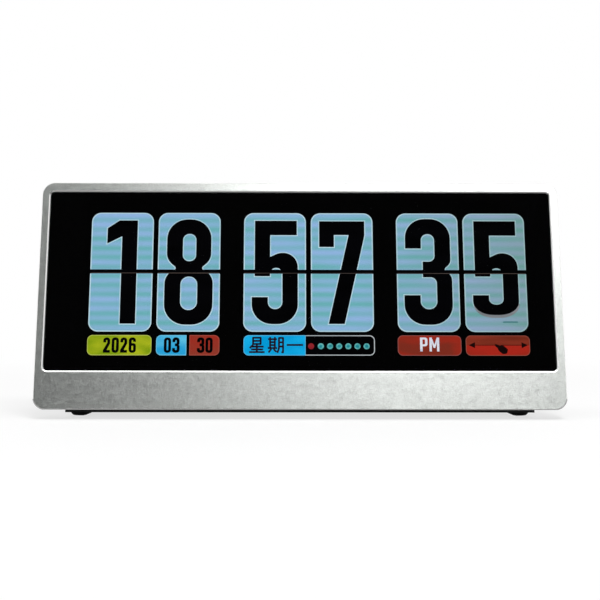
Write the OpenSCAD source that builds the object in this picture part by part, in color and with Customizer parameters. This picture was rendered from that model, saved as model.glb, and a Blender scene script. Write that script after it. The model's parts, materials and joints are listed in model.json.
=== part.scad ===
// Desk clock with a bar-shaped lit screen behind touch glass, an aluminium front frame and a leaning rear
// housing. X runs along the face, Y runs from front to back, Z runs up. The origin is the middle of the
// footprint, on the desk.

/* [Screen] */
// Width of the lit picture
screen_w = 163.2; // [150:0.1:180]
// Height of the lit picture
screen_h = 61.2; // [58:0.1:68]
// Thickness of each of the two cell glasses
cell_glass_t = 0.5; // [0.3:0.05:0.7]
// Thickness of a polariser
polariser_t = 0.2; // [0.1:0.05:0.3]
// Thickness of one light-shaping sheet behind the cell
sheet_t = 0.2; // [0.1:0.05:0.3]
// Thickness of the light guide
guide_t = 1.2; // [0.8:0.1:2]
// Width of the driver glass left bare for the driver chip
driver_ledge = 4.4; // [3.5:0.1:5]

/* [Face] */
// Black border left of the picture
border_left = 14.2; // [13.8:0.1:18]
// Black border right of the picture
border_right = 8; // [7.8:0.1:12]
// Black border above and below the picture
border_end = 3.3; // [3.2:0.1:6]
// Metal rim at each side of the glass
rim_side = 3.3; // [3:0.1:6]
// Metal rim above the glass
rim_top = 3.8; // [3:0.1:8]
// Metal chin below the glass
chin_h = 14.4; // [12:0.1:24]
// Radius of the corners of the face
corner_r = 4.8; // [3.5:0.1:8]
// Radius of the corners of the glass
glass_r = 1.5; // [1:0.1:3]
// Lean of the face from upright, in degrees
face_tilt = 16; // [13:0.5:19]
// Cut chamfer round the glass, which also sets how deep the glass lies
window_chamfer = 0.6; // [0.3:0.05:0.8]
// Chamfer round the outer edge of the face
edge_chamfer = 0.4; // [0.2:0.05:0.8]

/* [Front stack] */
// Thickness of the cover glass
glass_t = 1.1; // [0.7:0.1:2]
// Thickness of the black border print
print_t = 0.1; // [0.05:0.05:0.2]
// Thickness of the tape that holds the glass
tape_t = 0.2; // [0.1:0.05:0.4]
// Thickness of the touch sensor
sensor_t = 0.6; // [0.3:0.05:0.8]
// Thickness of the ledge that carries the glass
ledge_t = 0.9; // [0.8:0.1:2]
// Width of that ledge at each side
ledge_side = 6.7; // [6.2:0.1:7]
// Width of that ledge above and below
ledge_end = 2; // [1.5:0.1:2.1]
// Thickness of the foam gasket in front of the cell
gasket_t = 0.4; // [0.3:0.05:0.8]

/* [Frame] */
// Depth of the front frame, square to the face
frame_depth = 9.6; // [9:0.1:14]
// Wall of the front frame
frame_wall = 2; // [1.6:0.1:2.2]
// Diameter of the screw bosses in the front frame
boss_d = 5; // [4.5:0.1:5.4]
// Height of the lowest cover screw, up the face
low_screw_z = 9; // [8:0.5:12]
// Distance of the highest cover screw from the top of the face
high_screw_drop = 7; // [6:0.5:10]

/* [Rear housing] */
// Depth of the whole clock on the desk
body_depth = 50.4; // [48:0.1:70]
// Distance of the sides of the rear body from the sides of the face
body_inset = 10.5; // [10:0.5:16]
// Wall of the rear housing
shell_t = 2.2; // [1.8:0.1:2.6]
// Thickness of the plate that closes the front frame
plate_t = 2; // [1.8:0.1:3]
// How far the plate stays inside the outline of the face
plate_inset = 1; // [0.5:0.1:2]
// Height of the lip that enters the front frame
lip_h = 1.5; // [1:0.1:2]
// Thickness of that lip
lip_t = 1.2; // [1:0.1:1.3]
// Forward lean of the back wall, in degrees
back_tilt = 8; // [5:0.5:9]
// Drop of the roof below the top of the face
roof_drop = 9; // [8:0.5:14]
// Radius between the belly and the back wall
heel_r = 4; // [3:0.5:8]
// Radius between the back wall and the roof
roof_r = 5; // [3:0.5:6]
// Radius of the body's two top corners seen from behind
side_r = 8; // [4:0.5:12]

/* [Feet] */
// Height of the front frame over the desk
lift = 3.5; // [3:0.1:6]
// Height of the belly over the desk
belly_z = 1.7; // [1.2:0.1:2.4]
// Diameter of a foot
foot_d = 10; // [8:0.5:12]
// Depth of the pocket that holds a foot
foot_pocket = 0.6; // [0.4:0.1:1]
// Distance of the feet from the sides of the body
foot_inset = 5.5; // [5.5:0.5:20]

/* [Board] */
// Width of the main board
board_w = 104; // [100:1:106]
// Height of the main board
board_h = 44; // [42:0.5:46]
// Thickness of the main board
board_t = 1.6; // [1.2:0.1:2]
// Middle of the board along the clock
board_x = -18; // [-20:0.5:-17]
// Middle of the board up the back wall
board_z = 34; // [33:0.5:35]
// Space between the back wall and the board
standoff = 7; // [6.6:0.1:8]
// Distance of the board's screws from its edges
screw_inset = 4; // [3.5:0.1:4.5]

/* [Controls] */
// Height of the row of controls up the back wall
row_z = 24; // [22:0.5:27]
// Spacing of the buttons
button_pitch = 14; // [12:0.5:15]
// Place of the button next to the power slider
first_button_x = -14; // [-16:0.5:-13]
// Diameter of a button cap
button_d = 6.8; // [5:0.1:8]
// How far a button stands proud
button_proud = 1; // [0.8:0.1:2]
// Travel of a button
button_travel = 0.5; // [0.3:0.05:0.6]
// Place of the power slider
power_x = 6; // [4:0.5:7]
// Travel of the power slider
slider_travel = 3; // [2:0.1:4]
// Width of the thumb piece of the power slider
thumb_w = 3; // [2:0.1:4]
// How far the thumb piece stands proud
thumb_proud = 0.9; // [0.6:0.1:1.6]
// Place of the power socket
socket_x = 24; // [23:0.5:26]

/* [Speaker] */
// Diameter of the speaker
speaker_d = 28; // [24:0.5:32]
// Distance of the middle of the speaker from the side of the body
speaker_inset = 24; // [22:0.5:27]
// Middle of the speaker up the back wall
speaker_z = 36; // [30:0.5:40]
// Travel of the cone each way
cone_travel = 0.4; // [0.2:0.05:0.5]
// Diameter of a grille hole
grille_hole_d = 1.6; // [1:0.1:2]
// Spacing of the rings of grille holes
grille_pitch = 3; // [2.4:0.1:3.2]
// Rings of grille holes round the middle one
grille_rings = 3; // [1:1:4]

/* [Vents] */
// Number of vent slots
vent_count = 15; // [5:1:17]
// Spacing of the vent slots
vent_pitch = 6; // [5:0.5:7]
// Width of a vent slot
vent_w = 2; // [1:0.1:3]
// Height of a vent slot
vent_h = 8; // [4:0.5:9]
// Middle of the vents up the back wall
vent_z = 64; // [62:0.5:65]

/* [Fasteners] */
// Diameter of the screw threads
thread_d = 2.1; // [1.6:0.1:2.4]
// Diameter of the screw heads
head_d = 4.4; // [4:0.1:4.8]
// Height of the pan heads and of the countersunk cones
head_t = 1.3; // [1:0.1:1.6]

/* [Fits] */
// Gap round a moving piece in its guide
running_fit = 0.08; // [0.05:0.01:0.1]
// Gap round a piece that is seated by hand
seat_fit = 0.15; // [0.1:0.01:0.2]
// Gap round a screw in its boss
thread_fit = 0.03; // [0.02:0.01:0.05]
// Gap between a soft or swinging edge and its seat
soft_fit = 0.3; // [0.2:0.05:0.4]

/* [Hidden] */
$fn = 64;

// A length larger than the clock, for half spaces and through cuts
big = 400;
// How far a cut runs past the face it breaks through
over = 1;

// Sizes of the face, and the place of the picture on it
glass_w = border_left + screen_w + border_right;
glass_h = screen_h + 2 * border_end;
face_w = glass_w + 2 * rim_side;
face_h = chin_h + glass_h + rim_top;
screen_x = (border_left - border_right) / 2;
screen_z = chin_h + glass_h / 2;
opening_w = glass_w - 2 * ledge_side;
opening_h = glass_h - 2 * ledge_end;

// Depths of the layers, measured square to the face from its front
print_y = window_chamfer + glass_t;
tape_y = print_y + print_t;
ledge_y = tape_y + tape_t;
ledge_back = ledge_y + ledge_t;
filter_y = ledge_back + gasket_t;
driver_y = filter_y + cell_glass_t;
cell_back = driver_y + cell_glass_t;
prism_y = cell_back + polariser_t;
diffuser_y = prism_y + sheet_t;
guide_y = diffuser_y + sheet_t;
reflector_y = guide_y + guide_t;
tray_floor_y = reflector_y + sheet_t;

// Outlines of the screen's own pieces
polariser_margin = 1;
cell_margin = 1.4;
frame_lip = 0.3;
tray_fit = 0.1;
tray_t = 0.3;
lamp_zone = 1;
lamp_size = [3, 0.7, 0.7];
lamp_pitch = 9;
lamp_strip_h = 0.8;
mask_margin = 0.5;
driver_chip_w = 1.2;
driver_chip_t = 0.35;
driver_chip_gap = 0.8;
polariser_w = screen_w + 2 * polariser_margin;
polariser_h = screen_h + 2 * polariser_margin;
cell_w = screen_w + 2 * cell_margin;
cell_h = screen_h + 2 * cell_margin;
pocket_w = polariser_w + 2 * tray_fit;
pocket_h = polariser_h + 2 * tray_fit;
moulding_w = cell_w + driver_ledge + 2 * frame_lip;
moulding_h = cell_h + 2 * frame_lip;
moulding_x = screen_x - driver_ledge / 2;
tray_w = moulding_w + 2 * (tray_fit + tray_t);
tray_h = moulding_h + 2 * (tray_fit + tray_t);
tray_left = moulding_x - tray_w / 2;
tray_back = tray_floor_y + tray_t;

// Bracket behind the screen
bracket_t = 0.8;
bracket_gap = 0.5;
bracket_back = tray_back + bracket_t;
ear_h = 8;
ear_drop = 19;
ear_rise = 17;
ear_z = [screen_z - ear_drop, screen_z + ear_rise];

// Screw bosses in the front frame
boss_x = face_w / 2 - frame_wall - 2 * seat_fit - lip_t - boss_d / 2;
high_screw_z = face_h - high_screw_drop;
middle_screw_rise = 2;
cover_screw_z = [low_screw_z, (low_screw_z + high_screw_z) / 2 + middle_screw_rise, high_screw_z];
cover_screw_l = 6.4;
bracket_screw_l = 3.4;
board_screw_l = 5.6;
bore_spare = 0.3;

// Rear housing, seen from the side
plate_back = frame_depth + plate_t;
front_y = -body_depth / 2 - edge_chamfer * sin(face_tilt);
back_y = body_depth / 2 + heel_r * ((1 + sin(back_tilt)) / cos(back_tilt) - 1);
roof_z = lift + (face_h - roof_drop) * cos(face_tilt) - plate_back * sin(face_tilt);
body_w = face_w - 2 * body_inset;
arc_steps = 10;
lip_w = face_w - 2 * (frame_wall + seat_fit);
lip_top = face_h - 2 * (frame_wall + seat_fit);
lip_r = corner_r - frame_wall - seat_fit;
foot_front_gap = 0.5;
foot_back_gap = 1;
foot_x = body_w / 2 - foot_inset;
foot_y = [
    front_y + plate_back / cos(face_tilt) + foot_d / 2 + foot_front_gap,
    back_y - heel_r - foot_d / 2 - foot_back_gap
];

// Board: depths behind the outside of the back wall, and its edges
board_back = shell_t + standoff;
board_front = board_back + board_t;
board_left = board_x - board_w / 2;
board_right = board_x + board_w / 2;
board_top = board_z + board_h / 2;
standoff_wall = 0.8;

// Parts on the front of the board, as width, height and thickness
processor_size = [12, 12, 1.2];
memory_size = [6, 8, 1];
clock_chip_size = [5, 4, 1.2];
crystal_size = [3.2, 1.5, 0.8];
power_chip_size = [4, 4, 1];
inductor_size = [6, 6, 3];
radio_size = [18, 18, 0.8];
can_size = [15, 12, 2.2];
can_drop = 2;
coin_d = 20;
coin_t = 3.2;
coin_floor = 0.6;
coin_fit = 0.1;
holder_wall = 1.2;

// Their places: a row from the left edge, and a column from the right edge
chip_gap = 4;
edge_gap = 3;
radio_x = board_left + 2 * screw_inset + radio_size.x / 2;
memory_x = radio_x + radio_size.x / 2 + chip_gap + memory_size.x / 2;
processor_x = memory_x + memory_size.x / 2 + chip_gap + processor_size.x / 2;
crystal_x = processor_x + processor_size.x / 2 + chip_gap + crystal_size.x / 2;
clock_chip_x = crystal_x + crystal_size.x / 2 + chip_gap + clock_chip_size.x / 2;
holder_r = coin_d / 2 + holder_wall;
coin_x = processor_x + processor_size.x / 2 + chip_gap + holder_r;
inductor_x = board_right - 2 * screw_inset - inductor_size.x / 2;
chip_z = board_top - edge_gap - radio_size.y / 2;
clock_chip_z = board_top - edge_gap - clock_chip_size.y / 2;
inductor_z = board_top - edge_gap - inductor_size.y / 2;
power_chip_z = inductor_z - inductor_size.y / 2 - chip_gap - power_chip_size.y / 2;
coin_z = clock_chip_z - clock_chip_size.y / 2 - chip_gap - holder_r;

// Push switches and buttons
switch_w = 6;
switch_h = 3.5;
plunger_d = 3.5;
plunger_out = 0.8;
shoulder_d = 4.2;
shoulder_t = 0.5;
switch_lid = 0.5;
switch_well = 1.8;
well_gap = 0.15;
flange_w = 0.9;
flange_t = 0.8;
stem_d = 3;
cap_chamfer = 0.3;
flat_gap = 0.1;
switch_top = board_back - switch_h;
plunger_top = switch_top - plunger_out;
button_x = [for (i = [0:2]) first_button_x - i * button_pitch];

// Slide switch
slide_body = [8.6, 4.7, 4.4];
lever_w = 1.5;
lever_in = 1.7;
shoe = [10, 0.8, 5];
thumb_h = 3;
slider_rest = -slider_travel / 2;
slide_top = board_back - slide_body.y;
shoe_back = shell_t + flat_gap + shoe.y;

// Power socket
socket_w = 8.94;
socket_h = 3.26;
socket_t = 0.3;
socket_sink = 0.3;
socket_base = 1.7;
tongue = [6.7, 5.9, 0.7];
tongue_sink = 1.3;

// Speaker, as radii and as depths behind the outside of the back wall
speaker_x = body_w / 2 - speaker_inset;
speaker_r = speaker_d / 2;
rim_w = 1;
basket_t = 0.8;
basket_depth = 2.4;
basket_r = speaker_r - rim_w;
hollow_r = basket_r - basket_t;
magnet_r = 7.5;
pole_r = 4.1;
groove_r = 5.1;
gasket_y = shell_t;
speaker_gasket_t = 1;
rim_y = gasket_y + speaker_gasket_t;
basket_y = rim_y + basket_t;
floor_y = rim_y + basket_depth;
basket_back = floor_y + basket_t;
magnet_sink = 0.2;
magnet_t = 3.2;
yoke_t = 1;
magnet_y = floor_y + magnet_sink;
magnet_back = magnet_y + magnet_t;
seat_t = 1.2;
seat_h = 2;
seat_back = rim_y + seat_h;
cone_t = 0.35;
cone_set = 0.3;
cone_dip = 0.8;
cone_roll = 1.3;
cone_y = rim_y + cone_set;
coil_depth = 1.2;
coil_back = magnet_y + coil_depth;
terminal = [4, 2.2, 5];
terminal_gap = 1;
terminal_x = speaker_x - magnet_r - terminal.x / 2 - terminal_gap;
speaker_plug = [5, 5, 3];
plug_inset = 1;
lead_d = 1;
lead_gap = 1.5;
lead_drop = 2;
lead_z = board_z - lead_drop;
lead_in = board_front + speaker_plug.z / 2;
lead_end_x = board_right - plug_inset;

// Flexes: thickness, widths and places along the clock
flex_t = 0.2;
display_flex_w = 24;
display_flex_x = -48;
display_flex_drop = 2;
display_flex_z = screen_z - display_flex_drop;
flex_bond = 1.2;
touch_flex_w = 8;
touch_flex_x = -24;
flex_bend = 1.4;
connector_inset = 5;
connector_z = board_z - board_h / 2 + connector_inset;
display_plug = [26, 5, 2];
touch_plug = [10, 4, 2];
flex_rise = 1;
flex_in = board_front + flex_rise;
display_flex_sweep = 19;
touch_flex_sweep = [7, 12];
curve_steps = 16;

// Runs its children in the frame of the face: Y goes square into the clock, Z goes up the face
module leaned() translate([0, front_y, lift]) rotate([-face_tilt, 0, 0]) children();

// Runs its children in the frame of the back wall: Y goes square out of the clock, Z goes up the wall
module on_back() translate([0, back_y, belly_z]) rotate([back_tilt, 0, 0]) children();

// Y of the plane that lies at a depth behind the face, at a height over the desk
function plane_y(depth, z) = front_y + depth / cos(face_tilt) + (z - lift) * tan(face_tilt);

// Y of the back wall's outside, or of a plane inside it, at a height over the desk
function back_wall_y(inset, z) = back_y - (z - belly_z) * tan(back_tilt) - inset / cos(back_tilt);

// World point, as [Y, Z], of a point in the frame of the face or of the back wall
function from_face(y, z) = [
    front_y + y * cos(face_tilt) + z * sin(face_tilt),
    lift + z * cos(face_tilt) - y * sin(face_tilt)
];
function from_back(y, z) = [
    back_y + y * cos(back_tilt) - z * sin(back_tilt),
    belly_z + z * cos(back_tilt) + y * sin(back_tilt)
];

// Points of one polygon corner b, between a and c, rounded to radius r
function corner(a, b, c, r) = r <= 0 ? [b] :
    let (u = (a - b) / norm(a - b), v = (c - b) / norm(c - b), half = acos(u * v) / 2)
    let (middle = b + (u + v) / norm(u + v) * r / sin(half))
    let (from = b + u * r / tan(half) - middle, to = b + v * r / tan(half) - middle)
    let (start = atan2(from.y, from.x), sweep = atan2(cross(from, to), from * to))
    [for (i = [0:arc_steps]) let (turn = start + sweep * i / arc_steps) middle + r * [cos(turn), sin(turn)]];

// Points of a polygon with each corner rounded to its own radius
function rounded_points(points, radii) = let (n = len(points))
    [for (i = [0:n - 1]) each corner(points[(i + n - 1) % n], points[i], points[(i + 1) % n], radii[i])];

// Points along a cubic curve that leaves a for b and reaches d from c
function curve(a, b, c, d) = [
    for (i = [0:curve_steps]) let (t = i / curve_steps, s = 1 - t)
        a * s * s * s + 3 * b * s * s * t + 3 * c * s * t * t + d * t * t * t
];

// Outline of a ribbon of thickness t along a path
function ribbon(path, t) = let (n = len(path) - 1)
    let (side = [for (i = [0:n]) let (run = path[min(i + 1, n)] - path[max(i - 1, 0)])
        [-run.y, run.x] / norm(run) * t / 2])
    concat([for (i = [0:n]) path[i] + side[i]], [for (i = [n:-1:0]) path[i] - side[i]]);

// Flat shapes, centred
module rounded(w, h, r) {
    square([w - 2 * r, h], center = true);
    square([w, h - 2 * r], center = true);
    for (x = [-1, 1], y = [-1, 1])
        translate([x * (w / 2 - r), y * (h / 2 - r)]) circle(r);
}
module stadium(w, h) {
    square([w - h, h], center = true);
    for (x = [-1, 1])
        translate([x * (w - h) / 2, 0]) circle(h / 2);
}

// Pushes a flat shape along Y, from y to y + t
module pushed(y, t) translate([0, y + t, 0]) rotate([90, 0, 0]) linear_extrude(t) children();

// Plate in the plane of the face, centred on the face
module face_plate(w, h, r, y, t)
    leaned() translate([0, 0, face_h / 2]) pushed(y, t) rounded(w, h, r);

// Sheet in the plane of the face, centred on x and on the height of the picture
module sheet(w, h, y, t, x = screen_x)
    leaned() translate([x - w / 2, y, screen_z - h / 2]) cube([w, t, h]);

// Plate in the plane of the face with a rounded outline, centred like the glass
module glass_plate(w, h, r, y, t)
    leaned() translate([0, 0, screen_z]) pushed(y, t) rounded(w, h, r);

// Rounded plate whose outline shrinks by c all round, from y = 0 to y = c, to w by h
module flare(w, h, r, c) {
    linear_extrude(h - 2 * r, center = true)
        polygon([[-w / 2 - c, 0], [w / 2 + c, 0], [w / 2, c], [-w / 2, c]]);
    rotate([0, 90, 0]) linear_extrude(w - 2 * r, center = true)
        polygon([[-h / 2 - c, 0], [h / 2 + c, 0], [h / 2, c], [-h / 2, c]]);
    for (x = [-1, 1], z = [-1, 1])
        translate([x * (w / 2 - r), 0, z * (h / 2 - r)])
            rotate([-90, 0, 0]) cylinder(h = c, r1 = r + c, r2 = r);
}

// Everything over a height
module above(z) translate([-big / 2, -big / 2, z]) cube(big);

// Round bar behind the back wall, between two depths
module back_bar(x, z, d, from, to)
    translate([x, -from, z]) rotate([90, 0, 0]) cylinder(h = to - from, d = d);

// Box behind the back wall, centred on x and z, between two depths
module back_box(x, z, w, h, from, to) translate([x - w / 2, -to, z - h / 2]) cube([w, to - from, h]);

// Turned shape behind the back wall, drawn as radius and depth
module back_turned(x, z, points)
    translate([x, 0, z]) rotate([90, 0, 0]) rotate_extrude() polygon(points);

// Screw along Z, with its head's seat at z = 0 and its tip below
module cross_recess(d) for (turn = [0, 90])
    rotate(turn) translate([-d / 2, -d / 10, 0]) cube([d, d / 5, head_t]);
module pan_screw(length) difference() {
    union() {
        cylinder(h = head_t, d = head_d);
        translate([0, 0, -length]) cylinder(h = length, d = thread_d);
    }
    translate([0, 0, head_t / 2]) cross_recess(head_d / 2);
}
module flat_screw(length) difference() {
    union() {
        translate([0, 0, -head_t]) cylinder(h = head_t, d1 = thread_d, d2 = head_d);
        translate([0, 0, -length]) cylinder(h = length, d = thread_d);
    }
    translate([0, 0, -head_t / 2]) cross_recess(head_d / 2);
}

// Places in the front frame
module at_cover_screws(y) for (x = [-1, 1], z = cover_screw_z)
    leaned() translate([x * boss_x, y, z]) rotate([-90, 0, 0]) children();
module at_bracket_screws(y) for (x = [-1, 1], z = ear_z)
    leaned() translate([x * boss_x, y, z]) rotate([-90, 0, 0]) children();

// Places on the main board
module at_board_screws() for (x = [-1, 1], z = [-1, 1]) on_back() translate([
    board_x + x * (board_w / 2 - screw_inset), 0, board_z + z * (board_h / 2 - screw_inset)
]) children();

// Aluminium front frame
module frame_block() {
    leaned() translate([0, edge_chamfer, face_h / 2]) mirror([0, 1, 0])
        flare(face_w - 2 * edge_chamfer, face_h - 2 * edge_chamfer, corner_r - edge_chamfer, edge_chamfer);
    face_plate(face_w, face_h, corner_r, edge_chamfer, frame_depth - edge_chamfer);
}
module frame_hollow() intersection() {
    face_plate(face_w - 2 * frame_wall, face_h - 2 * frame_wall, corner_r - frame_wall, ledge_back, big);
    above(lift + frame_wall);
}
module frame_window() {
    leaned() translate([0, 0, screen_z])
        flare(glass_w + 2 * seat_fit, glass_h + 2 * seat_fit, glass_r + seat_fit, window_chamfer);
    glass_plate(glass_w + 2 * seat_fit, glass_h + 2 * seat_fit, glass_r + seat_fit, 0, ledge_y);
    glass_plate(opening_w, opening_h, glass_r, 0, ledge_back + over);
    leaned() translate([touch_flex_x - touch_flex_w / 2 - over, tape_y + flex_t, chin_h - ledge_end])
        cube([touch_flex_w + 2 * over, ledge_back, 3 * ledge_end]);
}
module front_frame() color("silver") difference() {
    boss_foot = ledge_back - ledge_t / 2;
    union() {
        difference() {
            intersection() { frame_block(); above(lift); }
            frame_hollow();
            frame_window();
        }
        at_cover_screws(boss_foot) cylinder(h = frame_depth - boss_foot, d = boss_d);
        at_bracket_screws(boss_foot) cylinder(h = tray_back - boss_foot, d = boss_d);
    }
    at_cover_screws(plate_back - cover_screw_l - bore_spare)
        cylinder(h = cover_screw_l, d = thread_d + 2 * thread_fit);
    at_bracket_screws(bracket_back - bracket_screw_l - bore_spare)
        cylinder(h = bracket_screw_l, d = thread_d + 2 * thread_fit);
}

// Glass and what is bonded to it
module cover_glass() color("black", 0.6) glass_plate(glass_w, glass_h, glass_r, window_chamfer, glass_t);
module border_print() color("black") difference() {
    glass_plate(glass_w, glass_h, glass_r, print_y, print_t);
    sheet(screen_w + 2 * mask_margin, screen_h + 2 * mask_margin, print_y - over, print_t + 2 * over);
}
module glass_tape() color("dimgray") difference() {
    glass_plate(glass_w, glass_h, glass_r, tape_y, tape_t);
    glass_plate(opening_w, opening_h, glass_r, tape_y - over, tape_t + 2 * over);
}
module touch_sensor() color("lightcyan")
    glass_plate(opening_w - 2 * soft_fit, opening_h - 2 * soft_fit, glass_r, tape_y, sensor_t);
module touch_flex() color("orange") {
    flex_y = tape_y + sensor_t + flex_t / 2;
    turn_z = chin_h + ledge_end / 2;
    end_z = connector_z - touch_plug.y / 2;
    path = concat(
        [from_face(flex_y, screen_z - screen_h / 2 - mask_margin)],
        curve(
            from_face(flex_y, turn_z), from_face(flex_y, turn_z - touch_flex_sweep[0]),
            from_back(-flex_in, end_z - touch_flex_sweep[1]), from_back(-flex_in, end_z)
        )
    );
    translate([touch_flex_x, 0, 0]) rotate([90, 0, 90])
        linear_extrude(touch_flex_w, center = true) polygon(ribbon(path, flex_t));
}

// Screen cell
module cell_gasket() color("#303030") difference() {
    sheet(tray_w, tray_h, ledge_back, gasket_t, moulding_x);
    sheet(polariser_w + 2 * soft_fit, polariser_h + 2 * soft_fit, ledge_back - over, gasket_t + 2 * over);
    sheet(driver_ledge, display_flex_w, ledge_back - over, gasket_t + 2 * over, tray_left + driver_ledge / 2);
}
module front_polariser() color("#20242c")
    sheet(polariser_w, polariser_h, filter_y - polariser_t, polariser_t);
module colour_filter_glass() color("lightblue") sheet(cell_w, cell_h, filter_y, cell_glass_t);
module driver_glass() color("paleturquoise")
    sheet(cell_w + driver_ledge, cell_h, driver_y, cell_glass_t, moulding_x);
module driver_chip() color("#202020")
    sheet(
        driver_chip_w, screen_h / 3, driver_y - driver_chip_t, driver_chip_t,
        screen_x - cell_w / 2 - driver_chip_gap - driver_chip_w / 2
    );
module rear_polariser() color("#20242c") sheet(polariser_w, polariser_h, cell_back, polariser_t);

// Backlight
module prism_sheet() color("white") sheet(polariser_w, polariser_h, prism_y, sheet_t);
module diffuser_sheet() color("whitesmoke") sheet(polariser_w, polariser_h, diffuser_y, sheet_t);
module guide_sheet(y, t) leaned()
    translate([screen_x - polariser_w / 2, y, screen_z - polariser_h / 2 + lamp_zone])
        cube([polariser_w, t, polariser_h - lamp_zone]);
module light_guide() color("aliceblue") guide_sheet(guide_y, guide_t);
module reflector_sheet() color("gainsboro") guide_sheet(reflector_y, sheet_t);
module lamp_strip() color("khaki") {
    lamps = floor(screen_w / lamp_pitch);
    leaned() translate([screen_x, reflector_y, screen_z - polariser_h / 2]) {
        translate([-screen_w / 2, 0, 0]) cube([screen_w, sheet_t, lamp_strip_h]);
        for (i = [0:lamps - 1])
            translate([(i - (lamps - 1) / 2) * lamp_pitch - lamp_size.x / 2, -lamp_size.y, 0])
                cube(lamp_size);
    }
}
module backlight_frame() color("white") difference() {
    sheet(moulding_w, moulding_h, cell_back, tray_floor_y - cell_back, moulding_x);
    sheet(pocket_w, pocket_h, cell_back - over, tray_floor_y);
}
module backlight_tray() color("lightgray") difference() {
    sheet(tray_w, tray_h, filter_y, tray_back - filter_y, moulding_x);
    sheet(
        tray_w - 2 * tray_t, tray_h - 2 * tray_t, filter_y - over, tray_floor_y - filter_y + over, moulding_x
    );
    leaned() translate([tray_left - over, 0, display_flex_z - display_flex_w / 2 - over])
        cube([tray_t + 2 * over, cell_back, display_flex_w + 2 * over]);
}

// Flex from the driver glass, round the tray, along the bracket and down to the main board
module display_flex() color("orange") {
    bond_y = driver_y - flex_t / 2;
    lie_y = bracket_back + flex_t / 2;
    fold_x = tray_left - flex_bend / 2;
    bond_x = tray_left + tray_t + tray_fit + frame_lip + flex_bond;
    fold = rounded_points(
        [[bond_x, bond_y], [fold_x, bond_y], [fold_x, lie_y], [display_flex_x, lie_y]],
        [0, flex_bend / 2, flex_bend / 2, 0]
    );
    tail_z = display_flex_z - display_flex_w / 2;
    end_z = connector_z - display_plug.y / 2;
    tail = curve(
        from_face(lie_y, tail_z), from_face(lie_y, tail_z - display_flex_sweep),
        from_back(-flex_in, end_z - display_flex_sweep), from_back(-flex_in, end_z)
    );
    leaned() translate([0, 0, tail_z]) linear_extrude(display_flex_w) polygon(ribbon(fold, flex_t));
    leaned() translate([display_flex_x - over, bracket_back, tail_z])
        cube([display_flex_w / 2 + over, flex_t, display_flex_w]);
    translate([display_flex_x, 0, 0]) rotate([90, 0, 90]) linear_extrude(display_flex_w, center = true)
        polygon(ribbon(tail, flex_t));
}

// Bracket that clamps the screen to the front frame
module screen_bracket() color("darkgray") difference() {
    plate_w = tray_w - 2 * bracket_gap;
    ear_x = boss_x + boss_d / 2;
    union() {
        sheet(plate_w, tray_h, tray_back, bracket_t, moulding_x);
        for (z = ear_z) leaned() translate([-ear_x, tray_back, z - ear_h / 2])
            cube([2 * ear_x, bracket_t, ear_h]);
    }
    at_bracket_screws(tray_back - over) cylinder(h = bracket_t + 2 * over, d = thread_d + 2 * seat_fit);
}
module bracket_screws() color("gray") at_bracket_screws(bracket_back) pan_screw(bracket_screw_l);

// Main board and what is soldered on its front
module main_board() color("darkgreen") difference() {
    on_back() back_box(board_x, board_z, board_w, board_h, board_back, board_front);
    at_board_screws() back_bar(0, 0, thread_d + 2 * seat_fit, board_back - over, board_front + over);
}
module on_board(x, z, size) on_back()
    back_box(x, z, size.x, size.y, board_front, board_front + size.z);
module processor() color("#202020") on_board(processor_x, chip_z, processor_size);
module memory_chip() color("#202020") on_board(memory_x, chip_z, memory_size);
module clock_chip() color("#202020") on_board(clock_chip_x, clock_chip_z, clock_chip_size);
module clock_crystal() color("silver") on_board(crystal_x, clock_chip_z, crystal_size);
module power_chip() color("#202020") on_board(inductor_x, power_chip_z, power_chip_size);
module power_inductor() color("dimgray") on_board(inductor_x, inductor_z, inductor_size);
module radio_module() color("gainsboro") {
    on_board(radio_x, chip_z, radio_size);
    on_board(radio_x, chip_z - can_drop, [can_size.x, can_size.y, radio_size.z + can_size.z]);
}
module cell_holder() color("#181818") on_back() difference() {
    back_bar(coin_x, coin_z, 2 * holder_r, board_front, board_front + coin_floor + coin_t);
    back_bar(coin_x, coin_z, coin_d + 2 * coin_fit, board_front + coin_floor, board_front + big);
}
module coin_cell() color("silver") on_back()
    back_bar(coin_x, coin_z, coin_d, board_front + coin_floor, board_front + coin_floor + coin_t);
module display_connector() color("ivory")
    on_board(display_flex_x, connector_z, display_plug);
module touch_connector() color("ivory")
    on_board(touch_flex_x, connector_z, touch_plug);
module speaker_connector() color("ivory")
    on_board(lead_end_x - speaker_plug.x / 2, lead_z, speaker_plug);

// Power socket, standing on the back of the board
module socket_shell() color("silver") on_back() translate([socket_x, 0, row_z]) difference() {
    pushed(-board_back, board_back - socket_sink) stadium(socket_w, socket_h);
    pushed(socket_base - board_back, board_back) stadium(socket_w - 2 * socket_t, socket_h - 2 * socket_t);
}
module socket_tongue() color("#202020") on_back()
    back_box(socket_x, row_z, tongue.x, tongue.z, tongue_sink, board_back - socket_base);

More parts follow.
